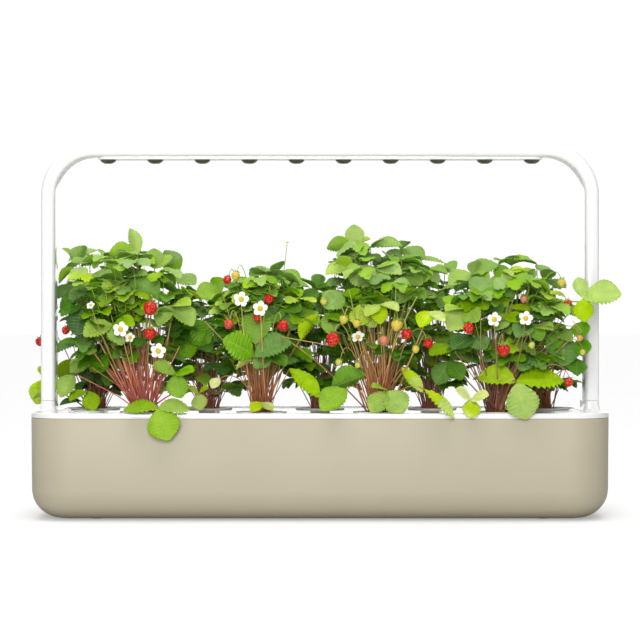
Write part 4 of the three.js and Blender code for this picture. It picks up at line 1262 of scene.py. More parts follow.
def gather(name, placed):
    """One mesh from many placed copies. Each entry is a model, its matrix and its tone."""
    points, faces, spots, sides, tones = [], [], [], [], []
    for model, matrix, tone in placed:
        mesh = model.data
        first = len(points)
        points += [matrix @ vert.co for vert in mesh.vertices]
        faces += [[first + i for i in face.vertices] for face in mesh.polygons]
        sides += [face.material_index for face in mesh.polygons]
        spots += [tuple(spot.uv) for spot in mesh.uv_layers[0].data]
        tones += [tone] * len(mesh.vertices)
    mesh = bpy.data.meshes.new(name)
    mesh.from_pydata(points, [], faces)
    mesh.polygons.foreach_set("material_index", sides)
    mesh.uv_layers.new(name="leaf_map").data.foreach_set("uv", np.array(spots).ravel())
    mesh.attributes.new("tone", "FLOAT", "POINT").data.foreach_set("value", tones)
    piece = bpy.data.objects.new(name, mesh)
    bpy.context.collection.objects.link(piece)
    return piece


print("leaves can be placed")


# %% Cell of each plant
ARM_INNER_X = 276 * MM
ARM_HALF_DEPTH = 19 * MM
PLANT_BACK_LIMIT = 104 * MM
PLANT_SIDE_LIMIT = 312.5 * MM


def nearest_cup(point):
    return min(cups, key=lambda cup: (point.xy - cup_middles[cup].xy).length)


def room_in_cell(point, cup):
    """How far a point lies inside the part of the plan that is nearest to its own cup."""
    own = cup_middles[cup].xy
    rooms = []
    for other in cups:
        if other != cup:
            theirs = cup_middles[other].xy
            rooms.append((point.xy - (own + theirs) / 2).dot((own - theirs).normalized()))
    return min(rooms)


def stays_clear(point):
    """True where a point is inside the plants' box and off the arms of the lamp."""
    if abs(point.x) > PLANT_SIDE_LIMIT or abs(point.y) > PLANT_BACK_LIMIT:
        return False
    return abs(point.x) < ARM_INNER_X or abs(point.y) > ARM_HALF_DEPTH


print("plan cells are ready for", len(cups), "plants")

# %% Leaves read from the photograph
# Each leaf: hub across, hub down, depth in mm, tone, then its leaflets. The tone is partly the leaf's
# own green and partly painted shade and light: dark for leaves deep in shade, bright for lit ones.
# Each leaflet: tip across, tip down, length in mm (minus where the tip points away), and how much
# of its upper side faces the viewer, from 1 to -1. A fifth number narrows a leaflet that is folded
# along its midrib. Across and down are places in the photograph.
SEEN_LEAVES = [
    (76, 265, 40, 0.7, [(62, 249, 24, 0.35), (98, 251, 28, 0.3), (84, 246, 26, -0.3)]),
    (90, 262, 25, 0.5, [(72, 263, 24, 0.5)]),
    (108, 262, 20, 0.6, [(81, 267, 28, -0.4), (118, 270, 20, 0.5)]),
    (74, 269, 10, 0.72, [(59, 284, 26, -0.6), (84, 280, 22, 0.6)]),
    (76, 287, 20, 0.3, [(57, 299, 26, 0.6), (88, 298, 24, 0.6)]),
    (87, 295, 0, 0.28, [(60, 309, 32, 0.5)]),
    (137, 257, 20, 0.78, [(109, 254, 29, -0.8), (130, 229, 28, -0.7, 0.7), (155, 265, 22, 0.4)]),
    (155, 269, -5, 0.7, [(154, 249, 22, -0.8), (173, 257, 22, 0.5), (141, 262, 20, 0.4)]),
    (131, 263, -20, 0.5, [(107, 285, 34, 0.6), (119, 262, 20, 0.4)]),
    (129, 280, -40, 0.5, [(160, 297, 38, 0.7), (117, 301, 28, 0.7), (147, 276, 24, 0.4)]),
    (97, 280, -25, 0.7, [(77, 292, 26, 0.6), (104, 298, 22, 0.7), (113, 276, 22, 0.5)]),
    (100, 290, -45, 0.8, [(78, 295, 24, 0.3)]),
    (127, 286, -48, 0.76, [(99, 290, 30, 0.3)]),
    (111, 293, -58, 0.66, [(134, 305, 28, 0.5), (101, 308, 22, 0.7)]),
    (82, 308, -62, 0.24, [(76, 336, 32, 0.85), (107, 320, 28, 0.6), (61, 317, 26, 0.6)]),
    (113, 325, -70, 0.7, [(84, 337, 34, 0.6), (122, 346, 26, 0.8), (135, 326, 26, 0.6)]),
    (151, 296, -50, 0.7, [(168, 305, 22, 0.5), (143, 311, 20, 0.7)]),
    (176, 277, 20, 0.6, [(165, 251, 28, -0.8), (196, 285, 26, 0.6), (159, 286, 22, 0.5)]),
    (222, 292, -25, 0.7, [(196, 297, 30, 0.7), (213, 278, 20, -0.3), (237, 301, 22, 0.6)]),
    (173, 306, -62, 0.76, [(193, 327, 32, 0.75), (159, 327, 28, 0.7), (191, 306, 24, 0.4)]),
    (190, 321, -50, 0.5, [(197, 346, 28, 0.8), (210, 344, 30, 0.7), (175, 337, 24, 0.7)]),
    (245, 293, -5, 0.3, [(224, 287, 26, 0.5), (258, 281, 24, 0.4), (250, 310, 24, 0.7)]),
    (275.5, 274, -20, 0.55, [(250, 277, 28, 0.4), (281, 262, 22, 0.2), (301, 283, 30, 0.4)]),
    (280, 296, -45, 0.62, [(304, 298, 26, -0.5), (264, 311, 24, 0.7)]),
    (283, 306, -62, 0.5, [(268, 325, 28, 0.8), (295, 331, 29, 0.8), (301, 312, 24, 0.5)]),
    (
        *(315.5, 289, 10, 0.45),
        [(300, 280, 22, 0.3), (321, 275, 20, -0.3), (336, 285, 26, 0.4), (308, 301, 20, 0.6)],
    ),
    (319, 315, -65, 0.76, [(301, 341, 33, -0.4, 0.8)]),
    (325, 314, -60, 0.6, [(340, 322, 22, 0.5)]),
    (333, 312, -50, 0.66, [(330, 335, 25, 0.8), (350, 322, 22, 0.6)]),
    (254, 357, -86, 0.5, [(223, 340, 38, 0.85), (292, 343, 40, 0.6)]),
    (256, 345, -80, 0.56, [(257, 312, -38, 0.8)]),
    (355, 247, 25, 0.86, [(354, 225, 23, -0.8), (327, 249, 28, -0.65), (371, 240, 20, 0.4)]),
    (371, 248, 0, 0.6, [(386, 239, 22, 0.25), (403, 247, 33, 0.45), (349, 251, 24, 0.5)]),
    (401, 250, 15, 0.36, [(425, 259, 30, 0.6), (389, 265, 22, 0.7), (408, 242, 18, -0.2)]),
    (420, 258, -10, 0.5, [(403, 267, 24, 0.5)]),
    (351, 269, -42, 0.8, [(339, 257, 22, -0.4), (326, 275, 28, 0.6), (373, 288, 34, 0.7)]),
    (345, 279, -20, 0.3, [(329, 287, 24, 0.5), (352, 296, 22, 0.7)]),
    (376, 269, -45, 0.72, [(395, 264, 22, 0.4), (402, 275, 30, 0.6), (377, 289, 25, 0.8)]),
    (401, 270, -30, 0.64, [(422, 286, 30, 0.7), (392, 289, 26, 0.7), (415, 268, 22, 0.4)]),
    (343, 293, -55, 0.6, [(325, 309, 30, 0.8), (362, 300, 24, 0.6)]),
    (380, 305, -82, 0.8, [(381, 325, 22, 0.7), (366, 317, 22, 0.5), (399, 312, 24, 0.5)]),
    (362, 304, -72, 0.82, [(358, 327, 26, -0.6), (376, 328, 28, 0.7)]),
    (430, 312, -60, 0.84, [(420, 328, 24, 0.7), (445, 322, 22, 0.6)]),
    (412, 291, -50, 0.55, [(398, 305, 24, 0.7), (426, 300, 20, 0.6)]),
    (446, 264, 35, 0.55, [(421, 260, 28, 0.3), (456, 270, 20, 0.4)]),
    (427, 270, 10, 0.6, [(448, 275, 24, 0.3), (434, 289, 22, -0.4), (409, 277, 22, 0.4)]),
    (438, 295.5, -20, 0.7, [(450, 288, 20, 0.4), (422, 297, 20, 0.5)]),
    (443, 298, -45, 0.7, [(463, 312, 28, 0.7)]),
    (472, 274, -5, 0.7, [(449, 286, 30, 0.6), (478, 261, 20, -0.3), (490, 283, 24, 0.5)]),
    (499, 265, 15, 0.55, [(472, 275, 32, 0.5), (512, 259, 20, 0.3), (504, 283, 24, 0.6)]),
    (512, 266, 40, 0.6, [(494, 260, 24, 0.3), (531, 261, 24, 0.3), (513, 256, 22, -0.3)]),
    (521, 272, -5, 0.6, [(505, 284, 24, 0.7), (535, 279, 22, 0.5)]),
    (491, 281, -30, 0.5, [(472, 295, 30, 0.7), (504, 292, 24, 0.6)]),
    (500, 291, -45, 0.7, [(496, 312, 25, 0.8), (513, 302, 22, 0.5)]),
    (463, 310, -66, 0.74, [(449, 331, 30, 0.85), (479, 322, 26, 0.8), (446, 312, 24, 0.5)]),
    (489, 302, -50, 0.36, [(474, 317, 26, 0.7), (502, 314, 22, 0.7)]),
    (505, 314, -60, 0.66, [(496, 331, 24, 0.8), (521, 323, 24, 0.6)]),
    (507, 307, -50, 0.84, [(531, 312, 28, 0.35)]),
    (473, 338, -70, 0.34, [(452, 350, 28, 0.6), (486, 350, 26, 0.7)]),
    (454, 346, -75, 0.75, [(430, 356, 30, 0.5)]),
    (584, 299, -62, 0.76, [(622, 295, 40, 0.75), (585, 323, 26, 0.95), (578, 278, -28, 0.35, 0.7)]),
    (545, 281, 15, 0.3, [(535, 298, 26, 0.7), (561, 290, 24, 0.6), (551, 270, 20, 0.2)]),
    (537, 265, 35, 0.55, [(514, 261, 28, 0.3), (548, 275, 22, 0.5)]),
    (560, 308, -28, 0.75, [(539, 298, 26, 0.6), (576, 317, 20, 0.6)]),
    (536, 304, -45, 0.45, [(552, 324, 30, 0.7), (521, 318, 26, 0.7)]),
    (533, 328, -62, 0.86, [(554, 331, 26, 0.35)]),
    (531, 324, -66, 0.5, [(516, 338, 26, 0.8), (541, 342, 24, 0.7)]),
    (582, 322, -36, 0.55, [(581, 340, 24, 0.8)]),
    (583, 339, -50, 0.5, [(582, 357, 22, 0.8)]),
    (563, 335, -55, 0.42, [(564, 367, 34, 0.9), (548, 352, 24, 0.7)]),
    (46, 380, 30, 0.86, [(35, 405, 28, -0.8), (38, 367, 18, -0.6)]),
    (44, 396, 30, 0.8, [(33, 399, 14, -0.5)]),
    (82, 343, -30, 0.34, [(57, 353, 30, 0.45), (93, 361, 24, 0.7)]),
    (72, 360, 45, 0.84, [(60, 380, 26, -0.5), (84, 372, 22, 0.6)]),
    (91, 362, -10, 0.7, [(70, 373, 26, 0.6), (104, 373, 22, 0.7)]),
    (74, 375, 5, 0.72, [(61, 398, 30, 0.7)]),
    (88, 392, 5, 0.76, [(70, 402, 24, 0.4), (95, 411, 22, 0.9)]),
    (83, 402, 30, 0.3, [(60, 406, 26, 0.2)]),
    (116, 369, -12, 0.28, [(107, 387, 24, 0.8)]),
    (112, 361, -35, 0.5, [(96, 372, 24, 0.6), (126, 371, 22, 0.6)]),
    (158.4, 409, -94, 0.74, [(124, 410, -36, 0.42), (190, 409, -34, 0.5), (169, 441, 35, 1.0)]),
    (176, 374, -76, 0.6, [(152, 368, 28, 0.65), (181, 399, 26, 0.8), (194, 372, 22, 0.5)]),
    (199, 394, -82, 0.84, [(188, 388, 14, 0.6), (209, 389, 14, 0.6), (201, 411, 19, 0.8)]),
    (220, 379, -72, 0.94, [(212, 389, 14, 0.6)]),
    (185, 332, -55, 0.5, [(169, 345, 24, 0.8), (190, 359, 28, 0.8), (205, 346, 26, 0.7)]),
    (270, 356, -72, 0.5, [(255, 369, 24, 0.6), (286, 367, 24, 0.6)]),
    (253, 361, -74, 0.92, [(236, 370, 22, -0.5)]),
    (290, 369, -76, 0.78, [(319.5, 398, 44, 0.5, 0.62)]),
    (262, 403, -82, 0.9, [(251, 412, 16, 0.6), (273, 411, 16, 0.6)]),
    (366, 375, -70, 0.5, [(332, 388, 38, -0.7)]),
    (347, 390, -82, 0.6, [(321, 411, 36, 0.7)]),
    (387, 392, -82, 0.74, [(371, 413, 28, 0.8), (405, 413, 30, 0.8), (372, 388, 20, 0.5)]),
    (402, 368, -76, 0.84, [(423, 393, 36, 0.6, 0.5)]),
    (425, 390, -92, 0.8, [(454, 419, 44, 0.6, 0.5)]),
    (450, 362, -60, 0.5, [(436, 385, 28, 0.8), (462, 381, 26, 0.7)]),
    (471, 400, -90, 0.97, [(456, 390, 20, 0.7), (489, 396, 22, 0.7), (472, 419, 21, 0.8)]),
    (516, 383, -86, 0.76, [(478, 378, -42, 0.55), (564, 381, -50, 0.5)]),
    (517, 384, -97, 0.76, [(527, 420, 38, 1.0, 1.15)]),
    (577, 359, -50, 0.36, [(577, 376, 24, 0.7)]),
]
print("leaves read from the photograph:", len(SEEN_LEAVES))

# %% Where a front leaf may stand
LEAF_DEPTH_STEP = 4 * MM
DEPTH_STEPS = 10
# Leaves that are nearer to the viewer than this hang over the front rim, at their own depth.
HANGS_OVER = -89 * MM
TIP_DEPTH_LIMIT = 103 * MM
LEAF_BOX = (314 * MM, 107.4 * MM)
ASIDE = 0.3
LEAST_LIFT = 0.02
chance = random.Random(7)


def tip_at(hub, across, down, length):
    """The tip of a leaflet of this length that shows at a place in the photograph."""
    seen = (seen_at(across, down, hub.y) - hub).length
    forward = math.sqrt(max((length * MM) ** 2 - seen**2, 0))
    depth = hub.y - math.copysign(forward, length)
    return seen_at(across, down, min(max(depth, -TIP_DEPTH_LIMIT), TIP_DEPTH_LIMIT))


def facing(share):
    """A direction that looks up, turned towards the viewer by a share from 1 to -1."""
    aside = chance.uniform(-ASIDE, ASIDE) if abs(share) < 1 else 0
    return Vector((aside, -share, math.sqrt(max(1 - share * share, LEAST_LIFT))))


def settle(hub_across, hub_down, depth, tips):
    """The hub and tips at the depth nearest to the asked one that keeps to one plant's cell."""
    best = None
    tries = [depth * MM + sign * step * LEAF_DEPTH_STEP for step in range(DEPTH_STEPS) for sign in (1, -1)]
    if depth * MM < HANGS_OVER:
        tries = tries[:1]
    for level in tries:
        if abs(level) > PLANT_BACK_LIMIT:
            continue
        hub = seen_at(hub_across, hub_down, level)
        ends = [tip_at(hub, *tip[:3]) for tip in tips]
        cup = nearest_cup(hub)
        room = min(room_in_cell(point, cup) for point in [hub, *ends])
        if not all(stays_clear(point) for point in [hub, *ends]):
            room -= 1
        if best is None or room > best[0]:
            best = (room, hub, ends, cup)
        if room > 0:
            break
    return best


def keep_inside(placed):
    """Moves the leaflets of one leaf together, so that no tooth stands out of the plants' box."""
    points = []
    for model, matrix, tone in placed:
        points += [matrix @ vert.co for vert in model.data.vertices]
    points = np.array(points)
    shift = Vector((0, 0, 0))
    for axis, limit in enumerate(LEAF_BOX):
        shift[axis] = max(-limit - points[:, axis].min(), 0) - max(points[:, axis].max() - limit, 0)
    move = Matrix.Translation(shift)
    return shift, [(model, move @ matrix, tone) for model, matrix, tone in placed]


print("front leaves are tried at steps of", LEAF_DEPTH_STEP / MM, "mm in depth")

# %% Front leaves
LEAF_STALK = 0.75 * MM
# A leaflet that is seen flat is drawn a little broader.
SEEN_FLAT = 0.75
BROADER = 0.08
FRONT_WIDTHS = (0.95, 1.15)
FRONT_TONE_SWAY = 0.06
leaflets = {cup: [] for cup in cups}
stalk_ends = {cup: [] for cup in cups}
crossing = 0
for hub_across, hub_down, depth, tone, tips in SEEN_LEAVES:
    room, hub, ends, cup = settle(hub_across, hub_down, depth, tips)
    crossing += room < 0
    placed = []
    for (_, _, _, share, *folded), end in zip(tips, ends):
        broad = BROADER if abs(share) > SEEN_FLAT else 0
        width = folded[0] if folded else chance.uniform(*FRONT_WIDTHS) + broad
        matrix = blade_matrix(hub, end, facing(share), width)
        model = chance.choice(front_leaflets)
        if depth * MM < HANGS_OVER:
            model = front_leaflets[0]
        sway = chance.uniform(-FRONT_TONE_SWAY, FRONT_TONE_SWAY)
        placed.append((model, matrix, tone + sway))
    shift, placed = keep_inside(placed)
    leaflets[cup] += placed
    stalk_ends[cup].append((hub + shift, LEAF_STALK))
print("front leaves placed, over a cell's edge:", crossing)

# %% Upper outline of the leaves
# Places in the photograph along the crown, from left to right.
CROWN_ACROSS = [32, 62, 98, 115, 131, 150, 165, 180, 195, 212, 227, 240, 262, 280, 300, 318, 330]
CROWN_DOWN = [300, 250, 248, 246, 234, 252, 256, 276, 287, 290, 283, 276, 264, 264, 276, 282, 258]
CROWN_ACROSS += [354, 375, 395, 420, 445, 460, 480, 500, 520, 545, 562, 585, 620]
CROWN_DOWN += [232, 238, 246, 256, 266, 276, 265, 262, 264, 276, 285, 290, 320]


def crown_top(point):
    """The height of the leaves' upper outline over a point, as the photograph shows it."""
    across = PHOTO_CENTRE_X + point.x * PHOTO_SCALE / (EYE_DISTANCE + point.y)
    return seen_at(across, float(np.interp(across, CROWN_ACROSS, CROWN_DOWN)), point.y).z


print("the crown's outline has", len(CROWN_ACROSS), "places")

# %% One inner leaf
INNER_REACH = 66 * MM
INNER_SIDE_LIMIT = 288 * MM
INNER_FRONT_LIMIT = -86 * MM
CROWN_THICKNESS = 155 * MM
CROWN_MARGIN = 8 * MM
CROWN_ROUNDING = 10 * MM
# Below this height the leaves stand only behind the front row of stalks.
LOW_LEAVES = 165 * MM
LOW_LEAVES_FRONT = -20 * MM
LOWEST_LEAF = 122 * MM
LEAF_BREADTH = 10 * MM
CELL_MARGIN = 1 * MM
OVER_CROWN = 2 * MM
SIDE_LEAFLET = 0.88
SIDE_DROOP = -0.25
# Random ranges. LEAN and SPREAD are in degrees, AWAY_SWAY in radians, LENGTHS in millimetres, and
# the others are shares of an upright unit, added to it to tilt the leaf.
LEAN = (-35, 20)
AWAY_SWAY = 0.7
TILT = (0.1, 0.8)
UPPER_ACROSS = (-0.3, 0.3)
UPPER_DEPTH = (-0.4, 0.2)
LENGTHS = (19, 29)
SPREAD = (62, 80)


def is_free(point, cup):
    """True where an inner leaf's point keeps to its cell, off the arms and under the crown."""
    if room_in_cell(point, cup) < CELL_MARGIN or not stays_clear(point):
        return False
    if point.y < INNER_FRONT_LIMIT or abs(point.x) > INNER_SIDE_LIMIT:
        return False
    if abs(point.x) > ARM_INNER_X - LEAF_BREADTH and abs(point.y) < ARM_HALF_DEPTH + LEAF_BREADTH:
        return False
    return LOWEST_LEAF <= point.z <= crown_top(point) + OVER_CROWN


def inner_leaf(cup):
    """A hub and three tips at a random place of a plant's own cell, or nothing."""
    middle = cup_middles[cup]
    turn = chance.uniform(0, 2 * math.pi)
    reach = INNER_REACH * math.sqrt(chance.random())
    hub = Vector((middle.x + reach * math.cos(turn), middle.y + reach * math.sin(turn), 0))
    top = crown_top(hub) - CROWN_MARGIN - CROWN_ROUNDING * (reach / INNER_REACH) ** 2
    hub.z = top - CROWN_THICKNESS * chance.random()
    if hub.z < LOW_LEAVES and hub.y < LOW_LEAVES_FRONT:
        return None
    lean = math.radians(chance.uniform(*LEAN))
    away = turn + chance.uniform(-AWAY_SWAY, AWAY_SWAY)
    ahead = Vector((math.cos(away) * math.cos(lean), math.sin(away) * math.cos(lean), math.sin(lean)))
    tilt = Vector((math.cos(away), math.sin(away), 0)) * chance.uniform(*TILT)
    sway = Vector((chance.uniform(*UPPER_ACROSS), chance.uniform(*UPPER_DEPTH), 0))
    upper = Vector((0, 0, 1)) + tilt + sway
    upper = (upper - ahead * upper.dot(ahead)).normalized()
    length = chance.uniform(*LENGTHS) * MM
    ends = []
    for side in (0, 1, -1):
        swing = Matrix.Rotation(side * math.radians(chance.uniform(*SPREAD)), 3, upper)
        droop = Vector((0, 0, SIDE_DROOP if side else 0))
        share = SIDE_LEAFLET if side else 1
        ends.append(hub + (swing @ ahead + droop).normalized() * length * share)
    if all(is_free(point, cup) for point in [hub, *ends]):
        return hub, ends, upper
    return None


print("inner leaves reach", INNER_REACH / MM, "mm from the middle of their cup")

# %% Inner leaves
INNER_LEAVES = 78
INNER_TRIES = 4000
INNER_STALK = 0.48 * MM
INNER_TONES = [0.38, 0.48, 0.56, 0.64, 0.7, 0.82]
# Leaves that lie deeper than a fifth of the crown are darkened: painted shade of the leaves above them.
LIT_SHARE = 0.2
DEEP_PAINTED_SHADE = 0.35
FACE_SWAY = (-0.25, 0.25)
INNER_WIDTHS = (0.9, 1.15)
INNER_TONE_SWAY = (-0.05, 0.05)
for cup in cups:
    kept = 0
    for attempt in range(INNER_TRIES):
        found = inner_leaf(cup)
        if found is None:
            continue
        hub, ends, upper = found
        depth_share = (crown_top(hub) - hub.z) / CROWN_THICKNESS
        tone = chance.choice(INNER_TONES) - DEEP_PAINTED_SHADE * max(depth_share - LIT_SHARE, 0)
        for end in ends:
            turned = upper + Vector((chance.uniform(*FACE_SWAY), chance.uniform(*FACE_SWAY), 0))
            matrix = blade_matrix(hub, end, turned, chance.uniform(*INNER_WIDTHS))
            model = chance.choice(inner_leaflets)
            leaflets[cup].append((model, matrix, tone + chance.uniform(*INNER_TONE_SWAY)))
        stalk_ends[cup].append((hub, INNER_STALK))
        kept += 1
        if kept == INNER_LEAVES:
            break
    print(cup, "inner leaves:", kept, "leaflets:", len(leaflets[cup]))

# %% Foliage pieces
for cup in cups:
    number = cup[4:]
    foliage = gather("foliage_" + number, leaflets[cup])
    foliage.data.materials.append(leaf_upper)
    foliage.data.materials.append(leaf_under)
    finish_piece(foliage, None, "pod_" + number, ["plant_" + number], smooth=50)
for model in front_leaflets + inner_leaflets:
    bpy.data.objects.remove(model)
print("foliage pieces:", len(cups))

# %% [markdown]
# ## Berries and flowers
# A wild strawberry is a small cone whose seeds sit in pits on its skin, under a star of green
# sepals. It hangs from a thin stalk that bows over. The flowers have five round white petals round
# a yellow dome. The berry starts as a ball that is drawn out to a cone. Petals and sepals come
# from the same helper as the leaflets.

# %% Fruit finishes
RIPENESS = [(0, "#C3CF63"), (0.4, "#E3C64F"), (0.65, "#D9776B"), (1, "#C8141A")]
# The seeds lie a little under two millimetres apart.
SEED_SPACING = 1.8 * MM
SEED_SPAN = {"From Min": 0.16, "From Max": 0.3, "To Min": 1.0, "To Max": 0.0}
SEED_COLOUR = {"data_type": "RGBA", 7: linear("#E9B44C")}
PITS = {"Strength": 1.0, "Distance": 0.9 * MM}
berry_skin, tree, shader = new_finish("strawberry_skin")
ripeness = add_node(tree, "Attribute", {"attribute_name": "tone"})
seeds = add_node(tree, "TexVoronoi", {"Scale": 1 / SEED_SPACING}, {"Vector": object_place(tree)})
flesh = add_node(tree, "ValToRGB", {}, {0: ripeness.outputs["Fac"]}, RIPENESS)
seed_mask = add_node(tree, "MapRange", SEED_SPAN, {"Value": seeds.outputs["Distance"]})
seeded = add_node(tree, "Mix", SEED_COLOUR, {0: seed_mask.outputs[0], 6: flesh.outputs[0]})
bump = add_node(tree, "Bump", PITS, {"Height": seeds.outputs["Distance"]})
dress(tree, shader, seeded.outputs[2], bump)
# Ripe skin is thin and juicy, so it takes small sharp highlights between the seeds.
shader.inputs["Roughness"].default_value = 0.3
shader.inputs["IOR"].default_value = 1.4
petal_skin = mottled("white_petal", "#FDFDF8", "#F3F2E4", size=3 * MM, roughness=0.55)
pollen = mottled("yellow_pollen", "#E6D24A", "#B59B22", size=0.7 * MM, roughness=0.8)
sepal_skin = mottled("green_sepal", "#8FB63A", "#5E8E24", size=2 * MM, roughness=0.55)
print("fruit finishes are ready")


# %% Berry, sepal, petal and flower centre
def ball_model(name, segments, rings, squash):
    """A ball of unit radius with its poles up and down, flattened by a share."""
    deselect()
    bpy.ops.mesh.primitive_uv_sphere_add(segments=segments, ring_count=rings, radius=1)
    ball = new_piece(name)
    ball.data.uv_layers[0].name = "leaf_map"
    edit(ball)
    bpy.ops.mesh.select_all(action="SELECT")
    bpy.ops.transform.resize(value=(1, 1, squash), center_override=(0, 0, 0))
    leave()
    return ball


berry_model = ball_model("berry", segments=14, rings=10, squash=1)
for vert in berry_model.data.vertices:
    # The berry is widest a little above its middle and narrows towards its tip.
    shoulder = 0.95 + 0.16 * vert.co.z - 0.12 * vert.co.z**2
    vert.co.x *= shoulder
    vert.co.y *= shoulder
sepal_shape = {"half_width": 0.2, "fullness": 1.0, "fold": 0.1, "arch": 0.1, "thickness": 0.04}
petal_shape = {"half_width": 0.46, "fullness": 0.45, "fold": 0.05, "arch": -0.25, "thickness": 0.03}
sepal_model = blade_model("sepal", rows=4, columns=2, **sepal_shape)
petal_model = blade_model("petal", rows=5, columns=4, **petal_shape)
centre_model = ball_model("flower_centre", segments=12, rings=8, squash=0.55)
fruit_models = (berry_model, sepal_model, petal_model, centre_model)
for index, model in enumerate(fruit_models):
    for face in model.data.polygons:
        face.material_index = index
    report(model)

# %% Berries and flowers read from the photograph
# Each berry: across, down, its half width in the photograph, how ripe it is, and its depth in mm.
SEEN_BERRIES = [
    (150.4, 309.2, 7, 1, -92),
    (150.4, 334.6, 6.2, 1, -92),
    (66, 331, 4.2, 1, -40),
    (39.8, 342.6, 4.2, 1, 45),
    (227.4, 280.6, 4.3, 1, -70),
    (235.8, 276.6, 4.4, 0.35, -70),
    (269, 299.6, 5.2, 1, -80),
    (257.5, 318.5, 4.2, 1, -84),
    (228.8, 324.8, 5, 0.9, -92),
    (283.6, 326.7, 5.6, 1, -92),
    (333, 340.5, 7, 1, -92),
    (407, 335, 5.6, 1, -92),
    (428.8, 344, 5, 1, -92),
    (469, 329.2, 5.6, 1, -92),
    (504, 351, 6.5, 1, -92),
    (568.3, 304.6, 4.2, 1, -62),
    (569, 383, 4.6, 1, -84),
    (384, 341, 4.6, 0.62, -92),
    (397, 326, 6, 0.35, -92),
    (416, 350, 3.8, 0.3, -90),
    (562, 283.6, 4.4, 0.3, -60),
    (324, 302.6, 3.6, 0.2, -80),
    (344, 320.5, 4.6, 0.2, -84),
    (357, 324.6, 4, 0.3, -86),
    (532, 346, 3.4, 0.1, -90),
    (339, 363, 3.6, 0.1, -86),
    (358, 366, 3.2, 0.1, -86),
    (580, 339, 3.2, 0.5, -70),
    (583, 353, 3, 0.2, -70),
    (524, 300, 3.6, 0.62, -72),
]
# Each flower: across, down, its half width, and how it is turned sideways and upwards.
SEEN_FLOWERS = [
    (121, 330, 8, -0.1, 0.1),
    (158.4, 351.8, 8, 0.1, 0.15),
    (241.4, 300, 8, 0.15, 0.2),
    (260.6, 309.2, 8, -0.25, 0.1),
    (494.4, 320, 7.5, 0.15, 0.0),
    (526, 319, 7.5, 0.05, 0.1),
    (358, 337, 7, 0.3, -0.8),
    (266.5, 286, 6, 0.1, 0.9),
    (130, 338, 5.5, 0.5, -0.5),
    (91, 306, 4.5, -0.4, 0.6),
    (398, 288, 5, 0.2, 0.9),
    (287.5, 243.5, 4, 0.0, 1.6),
]
print("berries:", len(SEEN_BERRIES), "flowers:", len(SEEN_FLOWERS))

# %% Bows and stars
CROWN_SPREAD = 10 * MM
STAR_SWAY = 0.06
# Only the skin of a berry reads its tone, so petals and sepals take any.
ANY_TONE = 0.5
crown_foot = soil_high.z - 1.5 * MM


def crown_point(cup):
    """A random spot on the soil where a stalk leaves the crown of a plant."""
    turn = chance.uniform(0, 2 * math.pi)
    spread = CROWN_SPREAD * math.sqrt(chance.random())
    middle = cup_middles[cup]
    return Vector((middle.x + spread * math.cos(turn), middle.y + spread * math.sin(turn), crown_foot))


def bow(foot, bend, end, steps):
    """Points on a bow from foot to end, drawn towards bend."""
    points = []
    for step in range(steps):
        t = step / (steps - 1)
        points.append(foot * (1 - t) ** 2 + bend * 2 * t * (1 - t) + end * t * t)
    return points


def star(model, middle, axis, radius, inner, outer, lift, count):
    """Leaves of a star round an axis. Inner, outer and lift are shares of its radius."""
    side = axis.orthogonal().normalized()
    placed = []
    for index in range(count):
        sway = chance.uniform(-STAR_SWAY, STAR_SWAY)
        out = Matrix.Rotation(2 * math.pi * (index + sway) / count, 3, axis) @ side
        foot = middle + out * (radius * inner)
        tip = middle + out * (radius * outer) + axis * (radius * lift)
        placed.append((model, blade_matrix(foot, tip, axis), ANY_TONE))
    return placed


print("stalks leave the soil at height", round(crown_foot, 4))

# %% Place the berries
FRUIT_STALK = 0.6 * MM
FRUIT_STALK_POINTS = 12
BERRY_TALL = 1.06
BERRY_WIDE = 1.05
BERRY_TILT = 0.5
# The stalk rises this far above its berry and bows over it.
BOW_RISE = 42 * MM
BOW_SHARE = 0.78
BOW_BEHIND = 4 * MM
BERRY_SEPALS = {"inner": 0.1, "outer": 0.95, "lift": 0.25, "count": 6}
fruits = {cup: [] for cup in cups}
fruit_lines = {cup: [] for cup in cups}
for across, down, half, ripe, depth in SEEN_BERRIES:
    middle = seen_at(across, down, depth * MM)
    radius = half * (EYE_DISTANCE + middle.y) / PHOTO_SCALE
    cup = nearest_cup(middle)
    tilt = Matrix.Rotation(chance.uniform(-BERRY_TILT, BERRY_TILT), 4, "X")
    tilt = tilt @ Matrix.Rotation(chance.uniform(-BERRY_TILT, BERRY_TILT), 4, "Y")
    shape = Matrix.Diagonal((radius * BERRY_WIDE, radius * BERRY_WIDE, radius * BERRY_TALL, 1))
    fruits[cup].append((berry_model, Matrix.Translation(middle) @ tilt @ shape, ripe))
    axis = (tilt @ Vector((0, 0, 1))).normalized()
    top = middle + axis * radius * (BERRY_TALL - 0.1)
    fruits[cup] += star(sepal_model, top, axis, radius, **BERRY_SEPALS)
    foot = crown_point(cup)
    bend = foot.lerp(top, BOW_SHARE)
    bend.y = min(bend.y, top.y + BOW_BEHIND)
    bend.z = top.z + BOW_RISE
    fruit_lines[cup].append((bow(foot, bend, top, FRUIT_STALK_POINTS), FRUIT_STALK))
print("plants with berries:", sum(1 for cup in cups if fruits[cup]))

# %% Place the flowers
FLOWER_DEPTH = -90 * MM
HIGH_FLOWER_DEPTH = -30 * MM
# Flowers above this line of the photograph stand further back.
HIGH_FLOWER = 290
